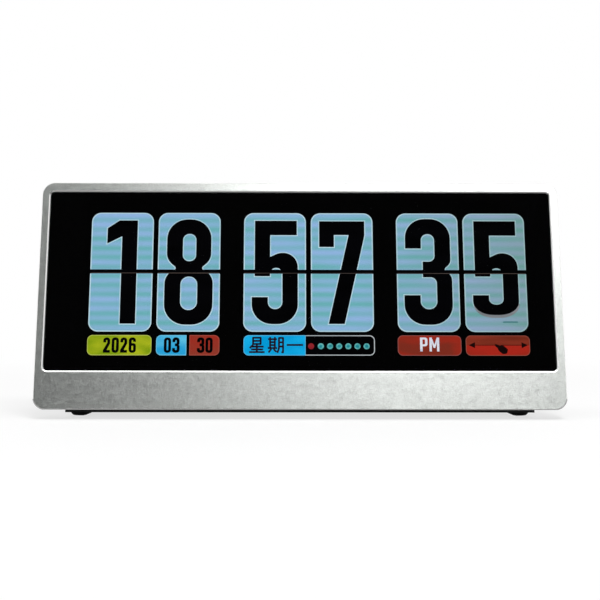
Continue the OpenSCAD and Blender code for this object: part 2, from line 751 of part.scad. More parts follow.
// Push switches on the back of the board, with the plunger that moves in each
module push_switch(x) color("#303030") on_back() difference() {
    back_box(x, row_z, switch_w, switch_w, switch_top, board_back);
    back_bar(x, row_z, plunger_d + 2 * running_fit, switch_top - over, switch_top + over);
    back_bar(
        x, row_z, shoulder_d + 2 * well_gap, switch_top + switch_lid, switch_top + switch_lid + switch_well
    );
}
module plunger(x) color("ivory") on_back() {
    shoulder_top = switch_top + switch_lid + flat_gap;
    back_bar(x, row_z, plunger_d, plunger_top, shoulder_top);
    back_bar(x, row_z, shoulder_d, shoulder_top, shoulder_top + shoulder_t);
}
module button(x) color("#202020") on_back() {
    r = button_d / 2;
    flange_top = shell_t + flat_gap;
    back_turned(x, row_z, [
        [0, -button_proud], [r - cap_chamfer, -button_proud], [r, cap_chamfer - button_proud],
        [r, flange_top], [r + flange_w, flange_top], [r + flange_w, flange_top + flange_t],
        [stem_d / 2, flange_top + flange_t], [stem_d / 2, plunger_top], [0, plunger_top]
    ]);
}
module switch_menu() push_switch(button_x[0]);
module switch_up() push_switch(button_x[1]);
module switch_down() push_switch(button_x[2]);
module plunger_menu() plunger(button_x[0]);
module plunger_up() plunger(button_x[1]);
module plunger_down() plunger(button_x[2]);
module button_menu() button(button_x[0]);
module button_up() button(button_x[1]);
module button_down() button(button_x[2]);

// Slide switch on the back of the board, its lever, and the thumb slider that grips the lever
module slide_switch() color("#404040") on_back() difference() {
    back_box(power_x, row_z, slide_body.x, slide_body.z, slide_top, board_back);
    back_box(
        power_x, row_z, lever_w + slider_travel + 2 * running_fit, lever_w + 2 * running_fit,
        slide_top - over, slide_top + lever_in + flat_gap
    );
}
module slide_lever() color("ivory") on_back()
    back_box(power_x + slider_rest, row_z, lever_w, lever_w, shoe_back, slide_top + lever_in);
module power_slider() color("#202020") on_back() {
    back_box(power_x + slider_rest, row_z, shoe.x, shoe.z, shell_t + flat_gap, shoe_back);
    back_box(power_x + slider_rest, row_z, thumb_w, thumb_h, -thumb_proud, shell_t + flat_gap);
}

// Speaker behind the grille
module speaker_gasket() color("#303030") on_back()
    back_turned(speaker_x, speaker_z,
        [[hollow_r, gasket_y], [speaker_r, gasket_y], [speaker_r, rim_y], [hollow_r, rim_y]]);
module speaker_frame() color("dimgray") on_back() {
    back_turned(speaker_x, speaker_z, [
        [hollow_r, rim_y], [speaker_r, rim_y], [speaker_r, basket_y], [basket_r, basket_y],
        [basket_r, basket_back], [magnet_r, basket_back], [magnet_r, floor_y], [hollow_r, floor_y]
    ]);
    back_box(terminal_x, lead_z, terminal.x, terminal.z, basket_back, basket_back + terminal.y);
}
module speaker_magnet() color("gray") on_back()
    back_turned(speaker_x, speaker_z, [
        [0, magnet_y], [pole_r, magnet_y],
        [pole_r, magnet_back - yoke_t], [groove_r, magnet_back - yoke_t],
        [groove_r, magnet_y], [magnet_r, magnet_y], [magnet_r, magnet_back], [0, magnet_back]
    ]);
module speaker_cone() color("#181818") on_back() {
    edge_r = hollow_r - soft_fit;
    coil_out = groove_r - soft_fit;
    coil_in = pole_r + soft_fit;
    back_turned(speaker_x, speaker_z, [
        [0, cone_y], [coil_out, cone_y + cone_dip], [edge_r - cone_roll, cone_y], [edge_r, cone_y],
        [edge_r, cone_y + cone_t], [edge_r - cone_roll, cone_y + cone_t],
        [coil_out, cone_y + cone_dip + cone_t], [coil_out, coil_back], [coil_in, coil_back],
        [coil_in, cone_y + cone_dip + cone_t], [0, cone_y + cone_t]
    ]);
}
module speaker_leads() color("red") on_back() {
    start = [terminal_x - terminal.x / 2, -(basket_back + terminal.y / 2)];
    end = [lead_end_x, -lead_in];
    reach = [(start.x - end.x) / 2, 0];
    path = curve(start, start - reach, end + reach, end);
    for (side = [-1, 1]) translate([0, 0, lead_z + side * lead_gap / 2])
        linear_extrude(lead_d, center = true) polygon(ribbon(path, lead_d));
}

// Rear housing
function body_points(inset, front) = rounded_points(
    [
        [plane_y(front, belly_z + inset), belly_z + inset],
        [back_wall_y(inset, belly_z + inset), belly_z + inset],
        [back_wall_y(inset, roof_z - inset), roof_z - inset],
        [plane_y(front, roof_z - inset), roof_z - inset]
    ],
    [0, heel_r - inset, roof_r - inset, 0]
);
module body_block(inset, front) intersection() {
    rotate([90, 0, 90]) linear_extrude(body_w - 2 * inset, center = true) polygon(body_points(inset, front));
    translate([0, 0, roof_z - inset - big / 2]) pushed(-body_depth, 2 * body_depth)
        rounded(body_w - 2 * inset, big, side_r - inset);
}
module closing_plate() intersection() {
    union() {
        face_plate(
            face_w - 2 * plate_inset, face_h - 2 * plate_inset, corner_r - plate_inset, frame_depth, plate_t
        );
        difference() {
            face_plate(lip_w, lip_top, lip_r, frame_depth - lip_h, lip_h + over);
            face_plate(
                lip_w - 2 * lip_t, lip_top - 2 * lip_t, lip_r - lip_t,
                frame_depth - lip_h - over, lip_h + over
            );
        }
    }
    union() {
        above(lift + frame_wall + seat_fit);
        intersection() { above(lift); face_plate(face_w, face_h, corner_r, frame_depth, plate_t); }
    }
}
module grille_holes() {
    back_bar(speaker_x, speaker_z, grille_hole_d, -over, shell_t + over);
    for (ring = [1:grille_rings], i = [1:6 * ring]) let (r = ring * grille_pitch, turn = i * 60 / ring)
        back_bar(
            speaker_x + r * cos(turn), speaker_z + r * sin(turn), grille_hole_d, -over, shell_t + over
        );
}
module vent_slots() for (i = [0:vent_count - 1])
    translate([(i - (vent_count - 1) / 2) * vent_pitch, 0, vent_z])
        pushed(-shell_t - over, shell_t + 2 * over) rotate(90) stadium(vent_h, vent_w);
module wall_holes() on_back() {
    for (x = button_x) back_bar(x, row_z, button_d + 2 * running_fit, -over, shell_t + over);
    back_box(
        power_x, row_z, thumb_w + slider_travel + 2 * running_fit, thumb_h + 2 * running_fit,
        -over, shell_t + over
    );
    translate([socket_x, 0, row_z]) pushed(-shell_t - over, shell_t + 2 * over)
        stadium(socket_w + 2 * seat_fit, socket_h + 2 * seat_fit);
    grille_holes();
    vent_slots();
}
module rear_cover() color("#202020") difference() {
    union() {
        difference() {
            union() {
                closing_plate();
                body_block(0, frame_depth);
            }
            body_block(shell_t, frame_depth - lip_h - over);
            at_feet(belly_z) cylinder(h = foot_pocket, d = foot_d + 2 * seat_fit);
        }
        at_board_screws() back_bar(0, 0, head_d + 2 * standoff_wall, shell_t - over / 2, board_back);
        on_back() back_turned(speaker_x, speaker_z, [
            [speaker_r + seat_fit, shell_t - over / 2], [speaker_r + seat_fit + seat_t, shell_t - over / 2],
            [speaker_r + seat_fit + seat_t, seat_back], [speaker_r + seat_fit, seat_back]
        ]);
    }
    wall_holes();
    at_board_screws() back_bar(
        0, 0, thread_d + 2 * thread_fit, board_front - board_screw_l - bore_spare, board_back + over
    );
    at_cover_screws(plate_back) {
        translate([0, 0, -head_t - thread_fit])
            cylinder(h = head_t, d1 = thread_d + 2 * thread_fit, d2 = head_d + 2 * thread_fit);
        translate([0, 0, -thread_fit]) cylinder(h = over, d = head_d + 2 * thread_fit);
        translate([0, 0, -plate_t - over]) cylinder(h = plate_t + over, d = thread_d + 2 * thread_fit);
    }
}

// Fasteners and feet
module cover_screws() color("gray") at_cover_screws(plate_back) flat_screw(cover_screw_l);
module board_screws() color("gray") at_board_screws() translate([0, -board_front, 0])
    rotate([90, 0, 0]) pan_screw(board_screw_l);
module at_feet(z) for (x = [-foot_x, foot_x], y = foot_y) translate([x, y, z]) children();
module rubber_feet() color("#181818") at_feet(0) {
    cylinder(h = cap_chamfer, d1 = foot_d - 2 * cap_chamfer, d2 = foot_d);
    translate([0, 0, cap_chamfer]) cylinder(h = belly_z + foot_pocket - cap_chamfer, d = foot_d);
}

front_frame();
cover_glass();
border_print();
glass_tape();
touch_sensor();
touch_flex();
cell_gasket();
front_polariser();
colour_filter_glass();
driver_glass();
driver_chip();
rear_polariser();
prism_sheet();
diffuser_sheet();
light_guide();
reflector_sheet();
lamp_strip();
backlight_frame();
backlight_tray();
display_flex();
screen_bracket();
bracket_screws();
main_board();
processor();
memory_chip();
clock_chip();
clock_crystal();
power_chip();
power_inductor();
radio_module();
cell_holder();
coin_cell();
display_connector();
touch_connector();
speaker_connector();
socket_shell();
socket_tongue();
switch_menu();
switch_up();
switch_down();
plunger_menu();
plunger_up();
plunger_down();
button_menu();
button_up();
button_down();
slide_switch();
slide_lever();
power_slider();
speaker_gasket();
speaker_frame();
speaker_magnet();
speaker_cone();
speaker_leads();
rear_cover();
cover_screws();
board_screws();
rubber_feet();
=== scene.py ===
"""Looks of a desk clock whose lit screen draws flip cards behind touch glass.

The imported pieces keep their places. Finer meshes stand for the pieces that show, the lit picture lies just in
front of the screen cell, and every piece gets a finish of its own. Lengths are in metres.
"""

import json
import math
from functools import partial

import bmesh
import bpy
from mathutils import Matrix, Vector
from mathutils.geometry import tessellate_polygon


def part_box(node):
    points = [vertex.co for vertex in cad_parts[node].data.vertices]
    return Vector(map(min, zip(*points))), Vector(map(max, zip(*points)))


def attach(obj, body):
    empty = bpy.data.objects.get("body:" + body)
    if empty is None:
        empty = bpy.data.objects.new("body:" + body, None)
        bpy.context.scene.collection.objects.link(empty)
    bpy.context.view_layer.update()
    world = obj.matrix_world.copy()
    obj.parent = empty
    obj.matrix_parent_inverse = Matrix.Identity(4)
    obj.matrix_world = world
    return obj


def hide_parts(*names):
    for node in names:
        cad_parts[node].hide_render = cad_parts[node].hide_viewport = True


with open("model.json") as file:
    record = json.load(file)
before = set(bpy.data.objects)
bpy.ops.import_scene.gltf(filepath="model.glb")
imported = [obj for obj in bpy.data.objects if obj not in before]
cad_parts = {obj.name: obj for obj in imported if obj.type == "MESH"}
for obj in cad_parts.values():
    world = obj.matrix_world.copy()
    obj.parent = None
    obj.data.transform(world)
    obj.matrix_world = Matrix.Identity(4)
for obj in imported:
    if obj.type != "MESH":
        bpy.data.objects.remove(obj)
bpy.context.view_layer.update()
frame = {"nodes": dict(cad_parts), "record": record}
nodes = frame["nodes"]

MM = 0.001
FACE_TILT = math.radians(16)
BACK_TILT = math.radians(8)
EDGE_CHAMFER = 0.4 * MM
HEEL_RADIUS = 4 * MM
WELD = 0.001 * MM

# Turns that bring Z to the outside of the face, and to its inside
OUTWARD = Matrix.Rotation(math.pi / 2, 4, "X")
INWARD = Matrix.Rotation(-math.pi / 2, 4, "X")


# Places on the face and on the back wall

def leaning_plane(y, z, lean):
    """Places on a leaning plane: X along the clock, Y square to the plane, Z up it."""
    return Matrix.Translation((0, y, z)) @ Matrix.Rotation(lean, 4, "X")


def face_plane():
    """The front of the face, where Y runs into the clock."""
    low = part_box("front_frame")[0]
    return leaning_plane(low.y - EDGE_CHAMFER * math.sin(FACE_TILT), low.z, -FACE_TILT)


def back_plane():
    """The outside of the back wall, where Y runs out of the clock."""
    low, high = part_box("rear_cover")
    heel = HEEL_RADIUS * ((1 + math.sin(BACK_TILT)) / math.cos(BACK_TILT) - 1)
    return leaning_plane(high.y + heel, low.z, BACK_TILT)


FACE = face_plane()
BACK = back_plane()


def box_of(points):
    """Lowest and highest corner of some points."""
    return [Vector(pick(p[i] for p in points) for i in range(3)) for pick in (min, max)]


def box_on(plane, node):
    """Lowest and highest corner of a node, measured in a plane's own directions."""
    turned = plane.inverted()
    return box_of([turned @ v.co for v in nodes[node].data.vertices])


# Meshes

def in_scene(name, data):
    """A new object in the scene."""
    made = bpy.data.objects.new(name, data)
    bpy.context.scene.collection.objects.link(made)
    return made


def mesh_of(name, bm):
    """A plain mesh from the mesh under work."""
    mesh = bpy.data.meshes.new(name)
    bm.to_mesh(mesh)
    bm.free()
    return mesh


def finished(name, bm, finishes, body, place=None, replaced=(), crease=32):
    """Makes a mesh a piece of the clock: placed, facing outwards, finished, and riding on its body.

    replaced lists the CAD nodes that it stands for.
    """
    if place is not None:
        bm.transform(place)
    bmesh.ops.remove_doubles(bm, verts=bm.verts, dist=WELD / 10)
    bmesh.ops.recalc_face_normals(bm, faces=bm.faces)
    for edge in bm.edges:
        edge.smooth = edge.calc_face_angle(math.pi) < math.radians(crease)
    for face in bm.faces:
        face.smooth = True
    mesh = mesh_of(name, bm)
    for finish in finishes:
        mesh.materials.append(finish)
    piece = in_scene(name, mesh)
    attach(piece, body)
    if replaced:
        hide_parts(*replaced)


def copy_of(node):
    """A copy of a node's own mesh to work on, with its corners joined."""
    bm = bmesh.new()
    bm.from_mesh(nodes[node].data)
    bmesh.ops.remove_doubles(bm, verts=bm.verts, dist=WELD)
    return bm


def islands(node, plane):
    """Boxes, on a plane, of the separate solids of a node."""
    bm = copy_of(node)
    turned = plane.inverted()
    left, boxes = set(bm.verts), []
    while left:
        grow, found = [left.pop()], []
        while grow:
            vert = grow.pop()
            found.append(turned @ vert.co)
            near = left.intersection(edge.other_vert(vert) for edge in vert.link_edges)
            left -= near
            grow += near
        boxes.append(box_of(found))
    bm.free()
    return sorted(boxes, key=lambda box: (round(box[0].x, 4), round(box[0].z, 4), round(box[0].y, 4)))


def circle(radius, steps):
    """Points of a circle round the origin."""
    turns = (2 * math.pi * i / steps for i in range(steps))
    return [Vector((radius * math.cos(t), radius * math.sin(t))) for t in turns]


def rounded(corners, steps=8):
    """Outline through corners given as x and y, and a radius where an arc rounds them."""
    points = []
    for i, (x, y, *radius) in enumerate(corners):
        here, radius = Vector((x, y)), sum(radius)
        if radius <= 0:
            points.append(here)
            continue
        before = (Vector(corners[i - 1][:2]) - here).normalized()
        after = (Vector(corners[(i + 1) % len(corners)][:2]) - here).normalized()
        half = before.angle(after) / 2
        middle = here + (before + after).normalized() * radius / math.sin(half)
        start = here + before * radius / math.tan(half) - middle
        end = here + after * radius / math.tan(half) - middle
        turn = math.atan2(start.x * end.y - start.y * end.x, start.dot(end))
        points += [middle + Matrix.Rotation(turn * k / steps, 2) @ start for k in range(steps + 1)]
    return points


def box_outline(x, y, w, h, radius=0, steps=8):
    """Outline of a box from its lower left corner; radius is one value, or one for each corner."""
    r = radius if isinstance(radius, tuple) else (radius,) * 4
    return rounded([(x, y, r[0]), (x + w, y, r[1]), (x + w, y + h, r[2]), (x, y + h, r[3])], steps)


def add_row(bm, points, y):
    """Adds the corners of an outline at one depth."""
    return [bm.verts.new((p.x, y, p.y)) for p in points]


def add_band(bm, first, second, mark=0):
    """Joins two closed rows of corners with quads that have one finish."""
    for i in range(len(first)):
        j = (i + 1) % len(first)
        bm.faces.new((first[i], first[j], second[j], second[i])).material_index = mark


def add_slab(bm, loops, front, back):
    """Adds a closed plate between two depths; the first loop is its outline and the others are holes."""
    flat = [[Vector((p.x, p.y, 0)) for p in loop] for loop in loops]
    points = [p for loop in flat for p in loop]
    near, far = add_row(bm, points, front), add_row(bm, points, back)
    for corners in tessellate_polygon(flat):
        for row in (near, far):
            bm.faces.new([row[i] for i in corners])
    first = 0
    for loop in flat:
        last = first + len(loop)
        add_band(bm, near[first:last], far[first:last])
        first = last


def add_loft(bm, rings):
    """Joins rings of points into a solid with a cap at each end."""
    rows = [[bm.verts.new(p) for p in ring] for ring in rings]
    for a, b in zip(rows, rows[1:]):
        add_band(bm, a, b)
    bm.faces.new(rows[0])
    bm.faces.new(reversed(rows[-1]))


def add_hoop(bm, rings, marked):
    """Joins rings of points, and the last of them to the first; the marked bands have the second finish."""
    rows = [[bm.verts.new(p) for p in ring] for ring in rings]
    for k, (a, b) in enumerate(zip(rows, rows[1:] + rows[:1])):
        add_band(bm, a, b, int(k in marked))


def add_turned(bm, profile, place, steps):
    """Adds a solid turned round Z from radius and height pairs."""
    add_loft(bm, [[place @ Vector((p.x, p.y, z)) for p in circle(radius, steps)] for radius, z in profile])


# Nodes

def add_node(tree, kind, inputs=None, output=0, **settings):
    """Adds a node with its inputs, as values or as links, and its settings; gives one of its outputs."""
    made = tree.nodes.new(kind)
    for key, value in settings.items():
        setattr(made, key, value)
    for key, value in (inputs or {}).items():
        if isinstance(value, bpy.types.NodeSocket):
            tree.links.new(value, made.inputs[key])
        else:
            made.inputs[key].default_value = value
    return made.outputs[output]


def add_maths(tree, operation, *values):
    """Adds a maths node for values or links."""
    return add_node(tree, "ShaderNodeMath", dict(enumerate(values)), operation=operation)


def add_spread(tree, pattern, low, high, start=0.3, end=0.7, **settings):
    """Stretches the middle of a pattern to run from low to high."""
    return add_node(tree, "ShaderNodeMapRange", {
        "Value": pattern, "From Min": start, "From Max": end, "To Min": low, "To Max": high,
    }, **settings)


# Finishes

def srgb(red, green, blue):
    """A colour as it looks on a screen, 0 to 255, as the linear colour that a shader takes."""
    def linear(value):
        value /= 255
        return value / 12.92 if value <= 0.04045 else ((value + 0.055) / 1.055) ** 2.4
    return (linear(red), linear(green), linear(blue), 1)


class Finish:
    """A material whose Principled shader holds the uniform values, and whose nodes add what varies."""

    def __init__(self, name, **values):
        self.material = bpy.data.materials.new(name)
        self.material.use_nodes = True
        self.tree = self.material.node_tree
        self.node, self.spread = partial(add_node, self.tree), partial(add_spread, self.tree)
        self.shader = self.tree.nodes["Principled BSDF"]
        for socket, value in values.items():
            self.shader.inputs[socket.replace("_", " ")].default_value = value
        self.place = self.node("ShaderNodeTexCoord", output="Object")

    def stretched(self, stretch, lean=0.0):
        """The place, leaned about X and then stretched along each direction."""
        place = self.place
        if lean:
            place = self.node("ShaderNodeMapping", {"Vector": place, "Rotation": (lean, 0, 0)})
        return self.node("ShaderNodeMapping", {"Vector": place, "Scale": stretch})

    def noise(self, size, detail=2.0, vector=None, rough=0.5):
        """Cloudy pattern from 0 to 1 with lumps of one size."""
        return self.node("ShaderNodeTexNoise", {
            "Vector": vector or self.place, "Scale": 1 / size, "Detail": detail, "Roughness": rough,
        })

    def cells(self, size):
        """Distance pattern of fine separate grains."""
        return self.node("ShaderNodeTexVoronoi", {"Vector": self.place, "Scale": 1 / size})

    def between(self, pattern, first, second):
        """Colour that goes from the first to the second as a pattern rises."""
        return self.node("ShaderNodeMix", {0: pattern, 6: first, 7: second}, 2, data_type="RGBA")

    def plus(self, first, second, share):
        """One pattern plus a share of another."""
        return add_maths(self.tree, "MULTIPLY_ADD", second, share, first)

    def set(self, socket, value):
        """Links a pattern to one of the shader's sockets."""
        self.tree.links.new(value, self.shader.inputs[socket])
        return self

    def tinted(self, pattern, colour, shade, *middle):
        """Varies the base colour by the middle of a pattern, from a darker shade of it up to the colour."""
        full = srgb(*colour)
        dark = [c * shade for c in full[:3]] + [1]
        return self.set("Base Color", self.between(self.spread(pattern, 0.0, 1.0, *middle), dark, full))

    def dulled(self, pattern, low, high, *middle):
        """Varies the roughness by the middle of a pattern."""
        return self.set("Roughness", self.spread(pattern, low, high, *middle))

    def bump(self, height, depth):
        """Raises the surface by a pattern, depth metres from its lowest to its highest."""
        return self.set("Normal", self.node("ShaderNodeBump", {
            "Height": height, "Distance": depth, "Strength": 1.0,
        }))


def blasted_aluminium():
    """Bead-blasted anodised aluminium: fine sparkle, soft clouds and a dull sheen."""
    made = Finish("blasted aluminium", Metallic=1.0, Anisotropic=0.6)
    made.set("Tangent", made.node("ShaderNodeCombineXYZ", {"Z": 1.0}))
    mixed = made.plus(made.noise(0.42 * MM, 3.0, rough=0.75), made.noise(1.8 * MM), 0.25)
    tone = made.spread(mixed, 0.0, 1.0, 0.44, 0.81)
    made.set("Base Color", made.between(tone, srgb(226, 230, 226), srgb(243, 247, 243)))
    return made.dulled(mixed, 0.28, 0.44, 0.42, 0.83).bump(mixed, 0.025 * MM).material


def cut_aluminium():
    """Bright chamfer cut by a diamond tool, with fine tool lines."""
    made = Finish("bright cut aluminium", Base_Color=srgb(248, 248, 247), Metallic=1.0)
    lines = made.noise(0.25 * MM, 1.0, made.stretched((1, 0.1, 1)))
    return made.dulled(lines, 0.10, 0.2).material


def clear_glass(name, ior, tint):
    """Clean glass with the faintest unevenness of its polish."""
    made = Finish(name, Base_Color=tint, Transmission_Weight=1.0, IOR=ior)
    return made.dulled(made.noise(9 * MM), 0.0, 0.012).material


def moulded(name, colour, roughness, grain=0.25 * MM, depth=0.01 * MM, shade=0.75):
    """Moulded plastic: fine spark-eroded texture with a little variation in colour and in gloss."""
    made = Finish(name)
    fine = made.noise(grain, 3.0)
    made.tinted(made.noise(7 * MM), colour, shade)
    return made.dulled(fine, roughness - 0.08, roughness + 0.08).bump(fine, depth).material


def metal(name, colour, roughness, stretch=(1, 1, 1)):
    """Plain or plated metal whose lines or mottling follow a stretch."""
    made = Finish(name, Metallic=1.0)
    lines = made.noise(0.4 * MM, 3.0, made.stretched(stretch))
    made.tinted(lines, colour, 0.8)
    return made.dulled(lines, roughness + 0.06, roughness - 0.06).bump(lines, 0.004 * MM).material


def inked(name, colour):
    """Ink or film bonded to glass, which leaves no gloss of its own."""
    made = Finish(name, Specular_IOR_Level=0.0, Roughness=0.8)
    made.tinted(made.noise(0.4 * MM), colour, 0.5)
    return made.bump(made.noise(0.2 * MM), 0.002 * MM).material


def film(name, colour, roughness):
    """Thin film or sheet with slight waves."""
    made = Finish(name)
    waves = made.noise(3 * MM)
    made.tinted(waves, colour, 0.88)
    made.dulled(made.noise(0.6 * MM), roughness - 0.05, roughness + 0.08)
    return made.bump(waves, 0.01 * MM).material


def spongy(name, colour, size=0.35 * MM, roughness=0.9):
    """Foam, rubber or paper with an open, dull surface."""
    made = Finish(name, Specular_IOR_Level=0.3)
    pores = made.cells(size)
    made.tinted(pores, colour, 0.6, 0.1, 0.7)
    made.dulled(made.noise(2 * MM), roughness - 0.06, roughness + 0.06)
    return made.bump(pores, 0.03 * MM).material


def board_mask():
    """Green solder mask: groups of fine raised tracks, and small round vias between them."""
    made = Finish("green solder mask", Specular_IOR_Level=0.6)
    laid_flat = made.stretched((1, 1, 1), math.pi / 2 - BACK_TILT)
    tracks = made.node("ShaderNodeTexBrick", {
        "Vector": laid_flat, "Scale": 1 / (6 * MM), "Mortar Size": 0.02, "Mortar Smooth": 0.2,
        "Brick Width": 3.1, "Row Height": 0.11,
    }, "Fac")
    groups = made.spread(made.noise(11 * MM, 0.0), 0.0, 1.0, 0.5, 0.52)
    vias = made.spread(made.cells(4 * MM), 1.0, 0.0, 0.1, 0.13)
    copper = made.plus(vias, tracks, groups)
    made.set("Base Color", made.between(copper, srgb(10, 66, 36), srgb(44, 118, 66)))
    return made.dulled(made.noise(1.5 * MM), 0.25, 0.4).bump(copper, 0.03 * MM).material


FINISHES = {
    "frame_metal": blasted_aluminium(),
    "cover_glass": clear_glass("cover glass", 1.45, (0.96, 0.97, 0.98, 1)),
    "black_print": inked("black border ink", (4, 4, 6)),
    "tape": spongy("black foam tape", (22, 22, 22)),
    "clear_film": clear_glass("touch sensor glass", 1.12, (0.97, 0.98, 0.98, 1)),
    "flex_film": film("amber flexible circuit", (190, 112, 34), 0.3),
    "foam": spongy("black sealing foam", (34, 34, 35)),
    "polariser": inked("dark polariser", (3, 3, 5)),
    "cell_glass": film("screen cell glass", (176, 196, 204), 0.12),
    "chip_black": moulded("moulded chip epoxy", (38, 38, 40), 0.55, 0.15 * MM),
    "light_sheet": film("white light sheet", (238, 240, 242), 0.35),
    "lamp_strip": moulded("lamp strip", (232, 222, 170), 0.45),
    "white_plastic": moulded("white moulding", (232, 232, 228), 0.5, shade=0.9),
    "tray_steel": metal("pressed bright steel", (196, 197, 198), 0.32, (0.08, 1, 1)),
    "screw_steel": metal("nickel plated screw", (202, 200, 196), 0.22),
    "screw_black": metal("black plated screw", (48, 48, 50), 0.35),
    "board_green": board_mask(),
    "can_metal": metal("nickel plated sheet", (208, 206, 200), 0.26, (1, 1, 0.1)),
    "ferrite": spongy("dull ferrite", (66, 66, 70), 0.2 * MM, 0.65),
    "black_inner_plastic": moulded("black inner moulding", (28, 28, 29), 0.5),
    "ivory_plastic": moulded("ivory moulding", (222, 214, 190), 0.45, shade=0.9),
    "key_plastic": moulded("matt black key", (27, 27, 28), 0.5, 0.18 * MM, 0.006 * MM),
    "speaker_steel": metal("painted speaker steel", (52, 52, 53), 0.5),
    "cone_paper": spongy("black paper cone", (30, 30, 31), 0.5 * MM),
    "lead_red": film("red insulation", (170, 26, 20), 0.35),
    "rear_plastic": moulded("textured black housing", (26, 26, 27), 0.52, 0.4 * MM, 0.06 * MM),
    "rubber": spongy("soft black rubber", (20, 20, 20), 0.25 * MM, 0.8),
}
BRIGHT_CUT = cut_aluminium()

# Spacing of a wave texture's bands at scale 1, and the stretch of X over which the picture's right end dims
WAVE_SPACING = math.pi / 10
DIM_FROM, DIM_TO = 20 * MM, 85 * MM


def lit(name, first, second, size, stretch=(0.15, 1, 1), share=0.0, band=0.0, far=None):
    """Light of one part of the picture, from one screen colour to another in soft level streaks.

    band is the spacing of bands that share the light with the streaks. far is the share of each colour that
    is left at the right end of the screen.
    """
    made = Finish(name, Base_Color=(0, 0, 0, 1), Roughness=0.6, Specular_IOR_Level=0.0, Emission_Strength=1.0)
    upright = made.stretched(stretch, FACE_TILT)
    pattern = made.spread(made.noise(size, 1.0, upright), 0.0, 1.0, 0.35, 0.65)
    if band:
        waves = made.node("ShaderNodeTexWave", {
            "Vector": upright, "Scale": WAVE_SPACING / band, "Distortion": 1.5, "Detail": 1.0,
            "Detail Scale": 0.4,
        }, "Fac", bands_direction="Z")
        pattern = made.plus(made.spread(waves, 0.0, 1.0 - share, 0.0, 1.0), pattern, share)
    light = made.between(pattern, srgb(*first), srgb(*second))
    if far:
        along = made.node("ShaderNodeSeparateXYZ", {0: made.place}, "X")
        dimming = made.between(made.spread(along, 0.0, 1.0, DIM_FROM, DIM_TO), (1, 1, 1, 1), far)
        light = made.node("ShaderNodeVectorMath", {0: light, 1: dimming}, operation="MULTIPLY")
    return made.set("Emission Color", light).material


CARD_LIGHT = lit("lit card", (112, 183, 188), (152, 188, 232), 5 * MM, share=0.4, band=3.6 * MM,
                 far=(0.93, 0.76, 0.62, 1))
CARD_EDGE = lit("lit card edge", (178, 214, 226), (204, 230, 240), 6 * MM, share=0.6, band=6 * MM,
                far=(0.7, 0.74, 0.68, 1))
INK_LIGHT = lit("dark digit", (0, 0, 1), (2, 2, 4), 4 * MM)


# The front

GLASS_RADIUS = 1.5 * MM


def ring(low, high, grow, radius, y, steps=14):
    """Points round a box on the face, grown on all its sides, at one depth."""
    w, h = high.x - low.x + 2 * grow, high.z - low.z + 2 * grow
    return [(p.x, y, p.y) for p in box_outline(-w / 2, low.z - grow, w, h, radius, steps)]


def aluminium_frame():
    """The front frame: blasted faces, bright cut chamfers, a foot level with the desk, and screw bosses."""
    face_low, face_high = box_on(FACE, "front_frame")
    glass_low, glass_high = box_on(FACE, "cover_glass")
    open_low, open_high = box_on(FACE, "touch_sensor")
    ledge_front, ledge_back = box_on(FACE, "glass_tape")[1].y, box_on(FACE, "cell_gasket")[0].y
    depth = face_high.y
    corner, wall, back_edge = 4.8 * MM, 2 * MM, 0.3 * MM
    glass_fit, opening_fit = 0.15 * MM, 0.3 * MM
    cut_width, cut_depth = 0.72 * glass_low.y, 0.46 * glass_low.y
    outer_chamfer, window_chamfer = 2, 4

    def outside(inset, y, floor=0):
        """A ring of the outside, cut off at a height over the desk."""
        cut = y * math.tan(FACE_TILT) + floor / math.cos(FACE_TILT)
        whole = ring(Vector((face_low.x, 0, 0)), face_high, -inset, corner - inset, y)
        return [(x, y, max(z, cut)) for x, y, z in whole]

    def window(grow, y):
        return ring(glass_low, glass_high, glass_fit + grow, GLASS_RADIUS + glass_fit + grow, y)

    def opening(y):
        return ring(open_low, open_high, opening_fit, GLASS_RADIUS, y)

    bm = bmesh.new()
    add_hoop(bm, [
        outside(back_edge, depth), outside(0, depth - back_edge), outside(0, EDGE_CHAMFER),
        outside(EDGE_CHAMFER, 0), window(cut_width, 0), window(0, cut_depth), window(0, ledge_front),
        opening(ledge_front), opening(ledge_back),
        outside(wall, ledge_back, wall), outside(wall, depth, wall),
    ], {outer_chamfer, window_chamfer})
    boss, bore, spare, foot = 2.5 * MM, 1.08 * MM, 0.3 * MM, (ledge_front + ledge_back) / 2
    for node, end in (("cover_screws", depth), ("bracket_screws", box_on(FACE, "backlight_tray")[1].y)):
        for low, high in islands(node, FACE):
            middle = Matrix.Translation(((low.x + high.x) / 2, 0, (low.z + high.z) / 2))
            profile = [(boss, foot), (boss, end), (bore, end), (bore, low.y - spare)]
            add_turned(bm, profile, middle @ INWARD, 32)
    finished("aluminium_frame", bm, [FINISHES["frame_metal"], BRIGHT_CUT], "clock", FACE,
             ["front_frame"])


def glass_pane():
    """The cover glass, with its edges ground."""
    low, high = box_on(FACE, "cover_glass")
    grind, front, back = 0.2 * MM, low.y, high.y - 0.01 * MM
    profile = ((grind, front), (0.3 * grind, front + 0.3 * grind), (0, front + grind), (0, back - grind),
               (grind, back))
    bm = bmesh.new()
    add_loft(bm, [ring(low, high, -inset, GLASS_RADIUS - inset, y, 10) for inset, y in profile])
    finished("glass_pane", bm, [FINISHES["cover_glass"]], "clock", FACE, ["cover_glass"],
             crease=12)


# The lit picture, drawn in millimetres from the lower left corner of the lit area

